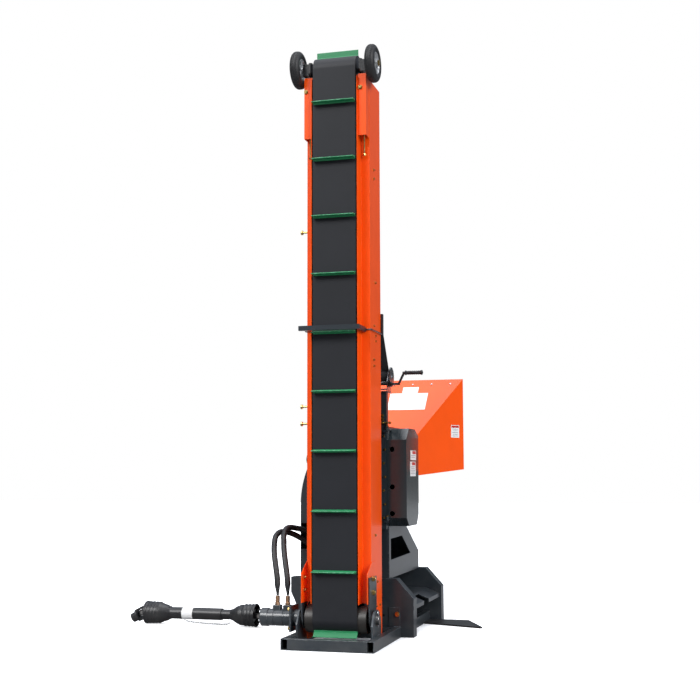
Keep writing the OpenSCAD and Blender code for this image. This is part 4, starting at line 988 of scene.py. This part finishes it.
@dataclass
class Conveyor(Assembly):
    """Rails, belt, cleats, head gear and wheels of the folding conveyor."""

    body: str = "conveyor"
    tread_blocks: int = 40

    def build(self) -> None:
        """Make the rails and belt, then the head, the yoke and the wheels."""
        for node in ("rail_left", "rail_right"):
            self.softened(node, ORANGE, 0.0014, 2)
        self.softened("gusset_plates", ORANGE, 0.001)
        self.softened("tension_guards", ORANGE, 0.0012)
        self.softened("slider_bed", DARK, 0.001)
        self.softened("pivot_arms", DARK, 0.0015)
        self.softened("lift_yoke", DARK, 0.002)
        self.softened("takeup_arms", BLACK, 0.0015)
        self.softened("conveyor_bolts", GOLD, 0.0009)
        self.softened("belt", BELT, 0.0012)
        self.softened("belt_cleats", GREEN, 0.0015, 3)
        self.softened("stay_hook", BLACK, 0.0015, body="hook")
        self.softened("drive_drum", DRUM, 0.002, body="drum")
        self.softened("head_roller", BLACK, 0.002, body="roller")
        self._rods()
        self._wheel(-1)
        self._wheel(1)

    def _rods(self) -> None:
        """Threaded rods with a fine turned thread, and their nuts."""
        low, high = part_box("tension_rods")
        parts = []
        pitch = 0.0025
        turns = int((high.z - low.z) / pitch) - 1
        y = (low.y + high.y) / 2
        for side in (-1, 1):
            x = side * (high.x - 0.009)
            thread = []
            for k in range(turns):
                thread += [(0.0044, low.z + k * pitch), (0.005, low.z + (k + 0.5) * pitch)]
            thread.append((0.0044, low.z + turns * pitch))
            parts.append(Bench.turned("rod", (x, y, 0), Axis.Z, thread, 14))
            for z in (low.z + 0.004, low.z + 0.1365):
                Bench.clear()
                bpy.ops.mesh.primitive_cylinder_add(vertices=6, radius=0.009, depth=0.010,
                                                    location=(x, y, z + 0.005))
                parts.append(Bench.soften(Bench.named("nut"), 0.001))
        self.attach(Bench.join("tension_rods_threaded", parts), GOLD, "tension_rods")

    def _wheel(self, side: int) -> None:
        """A pneumatic tyre with tread blocks on a five-spoked rim."""
        word = "left" if side < 0 else "right"
        body = f"{word}_wheel"
        low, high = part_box(f"tyre_{word}")
        centre = (low + high) / 2
        radius, half = (high.z - low.z) / 2, (high.x - low.x) / 2
        rim = 0.061
        bulge = [(rim - 0.002, half - 0.012), (rim + 0.003, half - 0.0065),
                 (rim + 0.009, half - 0.0035), (radius - 0.032, half - 0.0005),
                 (radius - 0.024, half), (radius - 0.016, half - 0.003),
                 (radius - 0.010, half - 0.0085), (radius - 0.0065, half - 0.015),
                 (radius - 0.0035, 0.008)]
        carcass = [(r, -x) for r, x in bulge] + [(r, x) for r, x in reversed(bulge)]
        tyre = Bench.turned(f"tyre_{word}_carcass", centre, Axis.X, carcass, 72, ring=True)
        self.attach(tyre, TYRE, f"tyre_{word}", body=body)
        self._tread(word, centre, radius, half)
        self._rim(word, centre, rim, half)

    def _tread(self, word: str, centre: Vector, radius: float, half: float) -> None:
        """Two rows of blocks on the crown and one on each shoulder, staggered."""
        parts = []
        step = 2 * math.pi / self.tread_blocks
        rows = ((-0.0185, -38, 0.0, 0.0062), (-0.0085, -12, 0.5, 0.0012), (0.0085, 12, 0.0, 0.0012),
                (0.0185, 38, 0.5, 0.0062))
        for row, (x, lean, offset, drop) in enumerate(rows):
            block = Bench.block(f"block_{row}", (-0.0052, -0.0056, -0.004), (0.0052, 0.0056, 0.0),
                                0.0008)
            places = []
            for k in range(self.tread_blocks):
                turn = Matrix.Rotation((k + offset) * step, 4, "X")
                places.append(Matrix.Translation(centre) @ turn
                              @ Matrix.Translation((x, 0, radius - drop - 0.0003))
                              @ Matrix.Rotation(math.radians(lean), 4, "Y")
                              @ Matrix.Rotation(math.radians(20 if x > 0 else -20), 4, "Z"))
            parts += Bench.copies(block, places)
        self.attach(Bench.join(f"tyre_{word}_tread", parts), TYRE, body=f"{word}_wheel")

    def _rim(self, word: str, centre: Vector, rim: float, half: float) -> None:
        """Drop-centre rim, hub and five tapered spokes."""
        body = f"{word}_wheel"
        edge = half - 0.008
        drop = [(rim - 0.003, -edge - 0.002), (rim + 0.001, -edge - 0.001), (rim, -edge + 0.004),
                (rim - 0.004, -edge + 0.008), (rim - 0.005, 0.0), (rim - 0.004, edge - 0.008),
                (rim, edge - 0.004), (rim + 0.001, edge + 0.001), (rim - 0.003, edge + 0.002),
                (rim - 0.008, edge - 0.006), (rim - 0.009, 0.0), (rim - 0.008, -edge + 0.006)]
        shell = Bench.turned(f"rim_{word}_shell", centre, Axis.X, drop, 64, ring=True)
        self.attach(shell, RIM, f"rim_{word}", body=body)
        hub = [(0.0105, -half), (0.022, -half), (0.023, -half + 0.002), (0.020, -half + 0.012),
               (0.019, 0.0), (0.020, half - 0.012), (0.023, half - 0.002), (0.022, half),
               (0.0105, half)]
        self.attach(Bench.turned(f"rim_{word}_hub", centre, Axis.X, hub, 40, ring=True), RIM,
                    body=body)
        parts = []
        for face in (-1, 1):
            Bench.clear()
            bpy.ops.mesh.primitive_cube_add(size=1.0, location=(face * (half - 0.013), 0, 0.036),
                                            scale=(0.009, 0.021, 0.038))
            spoke = Bench.named("spoke")
            Bench.edit(spoke)
            bpy.ops.mesh.select_all(action="DESELECT")
            Bench.done()
            for vertex in spoke.data.vertices:
                vertex.select = vertex.co.z > 0.036
            bpy.ops.object.mode_set(mode="EDIT")
            bpy.ops.transform.resize(value=(0.75, 0.62, 1.0),
                                     center_override=(face * (half - 0.013), 0.0, 0.055))
            Bench.done()
            Bench.soften(spoke, 0.002, 2)
            parts += Bench.copies(spoke, [Matrix.Translation(centre)
                                          @ Matrix.Rotation(math.radians(72 * k), 4, "X")
                                          for k in range(5)])
        self.attach(Bench.join(f"rim_{word}_spokes", parts), RIM, body=body)


# ---------------------------------------------------------------- winch


@dataclass
class Winch(Assembly):
    """Hand winch on its post, with the lifting strap."""

    def build(self) -> None:
        """Make the frame, reel, crank and strap."""
        self.softened("winch_post", DARK, 0.0015)
        self.softened("winch_frame", ZINC, 0.0008)
        self.softened("winch_drum", ZINC, 0.0006, body="reel")
        self.softened("winch_crank", BLACK, 0.0008, body="crank")
        self._grip()
        self._strap()

    def _grip(self) -> None:
        """Moulded grip with finger ridges, free to turn on the crank's pin."""
        low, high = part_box("crank_grip")
        at = (low.x, (low.y + high.y) / 2, (low.z + high.z) / 2)
        length = high.x - low.x
        profile = [(0.0052, 0.0), (0.012, 0.0), (0.014, 0.002), (0.014, 0.006), (0.0112, 0.011)]
        for ridge in range(6):
            base = 0.016 + ridge * (length - 0.034) / 6
            profile += [(0.0106, base), (0.0118, base + 0.006)]
        profile += [(0.0108, length - 0.014), (0.014, length - 0.008), (0.014, length - 0.002),
                    (0.0125, length), (0.0052, length)]
        self.attach(Bench.turned("crank_grip_moulding", at, Axis.X, profile, 36, ring=True),
                    GUARD, "crank_grip", body="grip")

    def _strap(self) -> None:
        """Webbing that runs from the reel to the yoke, and the turns still on the reel."""
        self_low, self_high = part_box("lift_strap")
        piece = Bench.soften(Bench.copy_of("lift_strap", "strap_webbing"), 0.0006)
        Bench.edit(piece)
        bpy.ops.mesh.subdivide(number_cuts=18)
        Bench.done()
        uv = piece.data.uv_layers.new(name="strap")
        width, height = self_high.x - self_low.x, self_high.z - self_low.z
        for loop in piece.data.loops:
            co = piece.data.vertices[loop.vertex_index].co
            uv.data[loop.index].uv = ((co.x - self_low.x) / width, (co.z - self_low.z) / height)
        piece.data.materials.clear()
        piece.data.materials.append(WEBBING.material(self.kit))
        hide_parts("lift_strap")
        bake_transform(piece)
        self.count += 1
        low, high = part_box("winch_drum")
        centre = ((low.y + high.y) / 2, (low.z + high.z) / 2)
        turns = [(0.0275, 0.0)]
        turns += [(0.0325, 0.0005), (0.034, 0.003), (0.034, width - 0.003),
                  (0.0325, width - 0.0005)]
        turns.append((0.0275, width))
        coil = Bench.turned("strap_on_reel", (self_low.x, *centre), Axis.X, turns, 48, ring=True)
        self._turn_uv(coil, centre)
        self.attach(coil, WEBBING, body="reel")

    @staticmethod
    def _turn_uv(piece: bpy.types.Object, centre: tuple[float, float]) -> None:
        """Give a piece turned about X a UV map that runs round it."""
        uv = piece.data.uv_layers.new(name="turns")
        for loop in piece.data.loops:
            co = piece.data.vertices[loop.vertex_index].co
            angle = math.atan2(co.z - centre[1], co.y - centre[0]) / math.tau
            uv.data[loop.index].uv = (co.x / 0.05, angle)


# ---------------------------------------------------------------- machine


@dataclass
class Base(Assembly):
    """Base frame, pivots and stand."""

    def build(self) -> None:
        """Make the frame, the stand and what is bolted to them."""
        self.softened("base_frame", DARK, 0.0022, 3)
        self.softened("pivot_stubs", STEEL, 0.0015)
        for node in ("near_leg", "far_leg", "left_leg_plate", "stand_shelf"):
            self.softened(node, DARK, 0.0018, 3)
        self.softened("ground_skid", BLACK, 0.002)
        self.softened("shaft_bearings", DARK, 0.002)
        self.softened("machine_bolts", GOLD, 0.0009)
        self.softened("r_clip", ZINC, 0.0008)


@dataclass
class Cutter(Assembly):
    """Housing, rotors, gears, covers and chute."""

    def build(self) -> None:
        """Make the body from its plates outwards."""
        for node in ("side_plate_right", "side_plate_left", "rotor_housing", "outlet_chute"):
            self.softened(node, DARK, 0.0018)
        self.softened("drive_cover", DARK, 0.002, 3)
        self.softened("drive_chain", STEEL, 0.001)
        self.softened("gear_cover", COVER, 0.003, 3, body="gear_door")
        self._cover_labels()
        for word in ("lower", "upper"):
            self.softened(f"rotor_{word}", STEEL, 0.0012, body=f"{word}_rotor")
            self.softened(f"gear_{word}", STEEL, 0.0006, body=f"{word}_rotor")

    def _cover_labels(self) -> None:
        """Two labels with red heads, one above the other on the gear cover's side."""
        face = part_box("gear_cover")[1].x
        prints = []
        for number, (y, z, tall) in enumerate(((0.752, 1.034, 0.056), (0.742, 0.954, 0.085))):
            at = Vector((face, y, z))
            name = f"cover_label_{number}"
            plate = Bench.plate(name, at, (0, 1, 0), (0, 0, 1), (0.15, tall), 0.0005)
            self.attach(plate, LABEL, body="gear_door")
            off = Vector((0.0005, 0, 0))
            head = Bench.plate(f"{name}_head", at + off + Vector((0, 0.02, tall / 2 - 0.012)),
                               (0, 1, 0), (0, 0, 1), (0.09, 0.017), 0.0002, 0.0005)
            self.attach(head, LABEL_RED, body="gear_door")
            for k in range(int((tall - 0.03) / 0.010)):
                prints.append(Bench.plate("print", at + off + Vector((0, 0, tall / 2 - 0.03
                                                                      - 0.01 * k)),
                                          (0, 1, 0), (0, 0, 1), (0.12 - 0.02 * (k % 2), 0.003),
                                          0.0002, 0.0003))
        self.attach(Bench.join("cover_label_print", prints), LABEL_GREY, body="gear_door")


@dataclass
class Hopper(Assembly):
    """Infeed funnel with its bolts and labels."""

    throat_y: float = 1.065
    throat_z: float = 1.078
    throat_half: float = 0.185
    mouth_y: float = 1.530
    mouth_z: float = 1.540

    def build(self) -> None:
        """Make the funnel, then what is fixed to its outside."""
        self.softened("hopper", ORANGE, 0.0014, 2)
        self._labels()
        self._bolts()

    def _on_roof(self, x: float, up: float) -> Vector:
        """A place on the sloping roof, so far to the right and so far up from the throat."""
        rise = Vector((0, self.mouth_y - self.throat_y, self.mouth_z - self.throat_z)).normalized()
        return Vector((x, self.throat_y, self.throat_z)) + rise * up

    def _labels(self) -> None:
        """Two blank labels on the roof and one on the right-hand side."""
        upward = self._on_roof(0, 1) - self._on_roof(0, 0)
        for name, x, up, size in (("roof_label", 0.130, 0.443, (0.250, 0.160)),
                                  ("roof_label_small", 0.134, 0.556, (0.104, 0.054))):
            plate = Bench.plate(name, self._on_roof(x, up), (1, 0, 0), upward, size, 0.0005)
            self.attach(plate, LABEL)
        lines = []
        normal = Vector((1, 0, 0)).cross(upward).normalized() * 0.0005
        for row in range(7):
            for column in range(4):
                wide = 0.018 + 0.009 * ((row * 3 + column * 5) % 4)
                at = self._on_roof(0.130 - 0.092 + 0.061 * column, 0.382 + 0.0195 * row) + normal
                lines.append(Bench.plate("print", at, (1, 0, 0), upward, (wide, 0.0035), 0.0002,
                                         0.0003))
        for row in range(2):
            at = self._on_roof(0.134, 0.546 + 0.02 * row) + normal
            lines.append(Bench.plate("print", at, (1, 0, 0), upward, (0.066, 0.004), 0.0002,
                                     0.0003))
        self.attach(Bench.join("roof_label_print", lines), LABEL_GREY)
        self._side_label()

    def _side_label(self) -> None:
        """Label with a red head on the funnel's right-hand side."""
        throat = Vector((self.throat_half, self.throat_y, 0))
        outward = Vector((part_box("hopper")[1].x, self.mouth_y, 0)) - throat
        outward.normalize()
        centre = throat + outward * 0.462 + Vector((0, 0, 1.197))
        size = (0.078, 0.080)
        self.attach(Bench.plate("side_label", centre, outward, (0, 0, 1), size, 0.0005), LABEL)
        off = outward.cross(Vector((0, 0, 1))).normalized() * 0.0005
        head = Bench.plate("side_label_head", centre + off + Vector((0, 0, 0.030)), outward,
                           (0, 0, 1), (0.070, 0.013), 0.0002, 0.0005)
        self.attach(head, LABEL_RED)
        lines = [Bench.plate("print", centre + off + Vector((0, 0, 0.014 - 0.011 * k)), outward,
                             (0, 0, 1), (0.056 - 0.008 * (k % 2), 0.003), 0.0002, 0.0003)
                 for k in range(5)]
        self.attach(Bench.join("side_label_print", lines), LABEL_GREY)

    def _bolts(self) -> None:
        """Seven bolts in a row along the roof, just below the mouth."""
        upward = self._on_roof(0, 1) - self._on_roof(0, 0)
        normal = Vector((1, 0, 0)).cross(upward).normalized()
        bolt = Bench.hexagon_bolt("roof_bolts", 0.006)
        turn = normal.to_track_quat("Z", "Y").to_matrix().to_4x4()
        places = [Matrix.Translation(self._on_roof(x, 0.607) - normal * 0.0002) @ turn
                  for x in (-0.357, -0.232, -0.107, 0.018, 0.142, 0.267, 0.391)]
        self.attach(Bench.join("roof_bolts", Bench.copies(bolt, places)), ZINC)


# ---------------------------------------------------------------- studio


@dataclass
class Studio:
    """Pale floor, soft lights and the camera."""

    eye: Point = (1.794, -6.047, 0.930)
    turn: float = 15.42
    tilt: float = 5.98
    roll: float = -0.15
    lens: float = 60.5

    def camera(self) -> None:
        """Set up the camera."""
        data = bpy.data.cameras.new("camera")
        data.lens = self.lens
        data.sensor_width = 36.0
        camera = bpy.data.objects.new("camera", data)
        bpy.context.scene.collection.objects.link(camera)
        camera.location = self.eye
        camera.rotation_mode = "XYZ"
        turn = Matrix.Rotation(math.radians(self.turn), 4, "Z")
        tilt = Matrix.Rotation(math.radians(90 + self.tilt), 4, "X")
        roll = Matrix.Rotation(math.radians(self.roll), 4, "Z")
        camera.rotation_euler = (turn @ tilt @ roll).to_euler("XYZ")
        bpy.context.scene.camera = camera

    def floor(self) -> None:
        """Lay a plain pale floor that glows for the camera, with the glow taken away under the
        machine so that a painted shadow lies there.
        """
        Bench.clear()
        bpy.ops.mesh.primitive_plane_add(size=60.0, location=(0, 0, -0.0005))
        floor = Bench.named("floor")
        material = bpy.data.materials.new("Pale floor")
        material.use_nodes = True
        tree = material.node_tree
        shader = tree.nodes["Principled BSDF"]
        shader.inputs["Roughness"].default_value = 0.9
        shader.inputs["Specular IOR Level"].default_value = 0.1
        seen = tree.nodes.new("ShaderNodeLightPath")
        shade = ShaderKit.mix(tree, seen.outputs["Is Camera Ray"], (0.3, 0.3, 0.3),
                              (0.97, 0.97, 0.97))
        tree.links.new(shade, shader.inputs["Base Color"])
        # Painted shadow: the camera-ray glow is masked out over the machine's footprint, so the
        # floor there is darker than the rest.
        glow = ShaderKit.mix(tree, seen.outputs["Is Camera Ray"], (0.0, 0.0, 0.0),
                             self._glow_off_for_painted_shadow(tree))
        tree.links.new(glow, shader.inputs["Emission Color"])
        shader.inputs["Emission Strength"].default_value = 1.0
        floor.data.materials.append(material)

    def _glow_off_for_painted_shadow(self, tree: bpy.types.NodeTree) -> bpy.types.NodeSocket:
        """A grey value that is nothing under the machine and full away from it: the floor's glow,
        left out under the machine as a painted shadow.
        """
        place = tree.nodes.new("ShaderNodeTexCoord")
        split = tree.nodes.new("ShaderNodeSeparateXYZ")
        tree.links.new(place.outputs["Object"], split.inputs[0])
        reach = []
        for axis, (middle, half) in {"X": (0.02, 0.27), "Y": (0.72, 0.74)}.items():
            off = ShaderKit.maths(tree, "SUBTRACT", split.outputs[axis], middle)
            off = ShaderKit.maths(tree, "ABSOLUTE", off, 0.0)
            reach.append(ShaderKit.maths(tree, "SUBTRACT", off, half))
        outside = ShaderKit.maths(tree, "MAXIMUM", reach[0], reach[1])
        ramp = tree.nodes.new("ShaderNodeMapRange")
        ramp.inputs["From Min"].default_value = -0.06
        ramp.inputs["From Max"].default_value = 0.12
        ramp.inputs["To Max"].default_value = 0.62
        tree.links.new(outside, ramp.inputs["Value"])
        return ramp.outputs["Result"]

    def room(self) -> None:
        """Light the room from above, and keep it plain and pale where it is seen directly."""
        world = bpy.data.worlds.new("room")
        world.use_nodes = True
        tree = world.node_tree
        sky = tree.nodes["Background"]
        place = tree.nodes.new("ShaderNodeTexCoord")
        split = tree.nodes.new("ShaderNodeSeparateXYZ")
        tree.links.new(place.outputs["Generated"], split.inputs[0])
        ramp = tree.nodes.new("ShaderNodeValToRGB")
        stops = ramp.color_ramp
        stops.elements[0].position, stops.elements[0].color = 0.48, (0.05, 0.05, 0.05, 1.0)
        stops.elements[1].position, stops.elements[1].color = 0.99, (1.0, 1.02, 1.06, 1.0)
        for position, colour in ((0.53, (0.018, 0.02, 0.02, 1.0)),
                                 (0.75, (0.07, 0.078, 0.095, 1.0)),
                                 (0.93, (0.24, 0.26, 0.3, 1.0))):
            stops.elements.new(position).color = colour
        height = tree.nodes.new("ShaderNodeMapRange")
        height.inputs["From Min"].default_value = -1.0
        tree.links.new(split.outputs["Z"], height.inputs["Value"])
        tree.links.new(height.outputs["Result"], ramp.inputs["Fac"])
        tree.links.new(ramp.outputs["Color"], sky.inputs["Color"])
        sky.inputs["Strength"].default_value = 3.6
        plain = tree.nodes.new("ShaderNodeBackground")
        plain.inputs["Color"].default_value = (1.0, 1.0, 1.0, 1.0)
        seen = tree.nodes.new("ShaderNodeLightPath")
        choose = tree.nodes.new("ShaderNodeMixShader")
        tree.links.new(seen.outputs["Is Camera Ray"], choose.inputs[0])
        tree.links.new(sky.outputs[0], choose.inputs[1])
        tree.links.new(plain.outputs[0], choose.inputs[2])
        tree.links.new(choose.outputs[0], tree.nodes["World Output"].inputs["Surface"])
        bpy.context.scene.world = world

    def lights(self) -> None:
        """Aim two broad, even lights at the machine: from its front and from its right."""
        for name, towards, spread, power in (("key", (-0.55, -1.0, 0.85), 24.0, 2.3),
                                             ("side", (1.0, -0.7, 0.5), 30.0, 2.35)):
            data = bpy.data.lights.new(name, "SUN")
            data.angle = math.radians(spread)
            data.energy = power
            lamp = bpy.data.objects.new(name, data)
            bpy.context.scene.collection.objects.link(lamp)
            lamp.rotation_euler = Vector(towards).to_track_quat("Z", "Y").to_euler()
        bpy.context.scene.view_settings.view_transform = "Standard"


def main() -> None:
    """Build the machine in order: the imported model, the camera, each sub-assembly, then the
    floor, room and lights.
    """
    logging.basicConfig(level=logging.INFO, format="%(name)s %(message)s")
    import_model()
    studio = Studio()
    studio.camera()
    kit = ShaderKit()
    for assembly in (Hydraulics(kit), DriveShaft(kit), Conveyor(kit), Winch(kit), Base(kit),
                     Cutter(kit), Hopper(kit)):
        assembly.build()
        assembly.report()
    studio.floor()
    studio.room()
    studio.lights()
    Bench.clear()


if __name__ == "__main__":
    main()
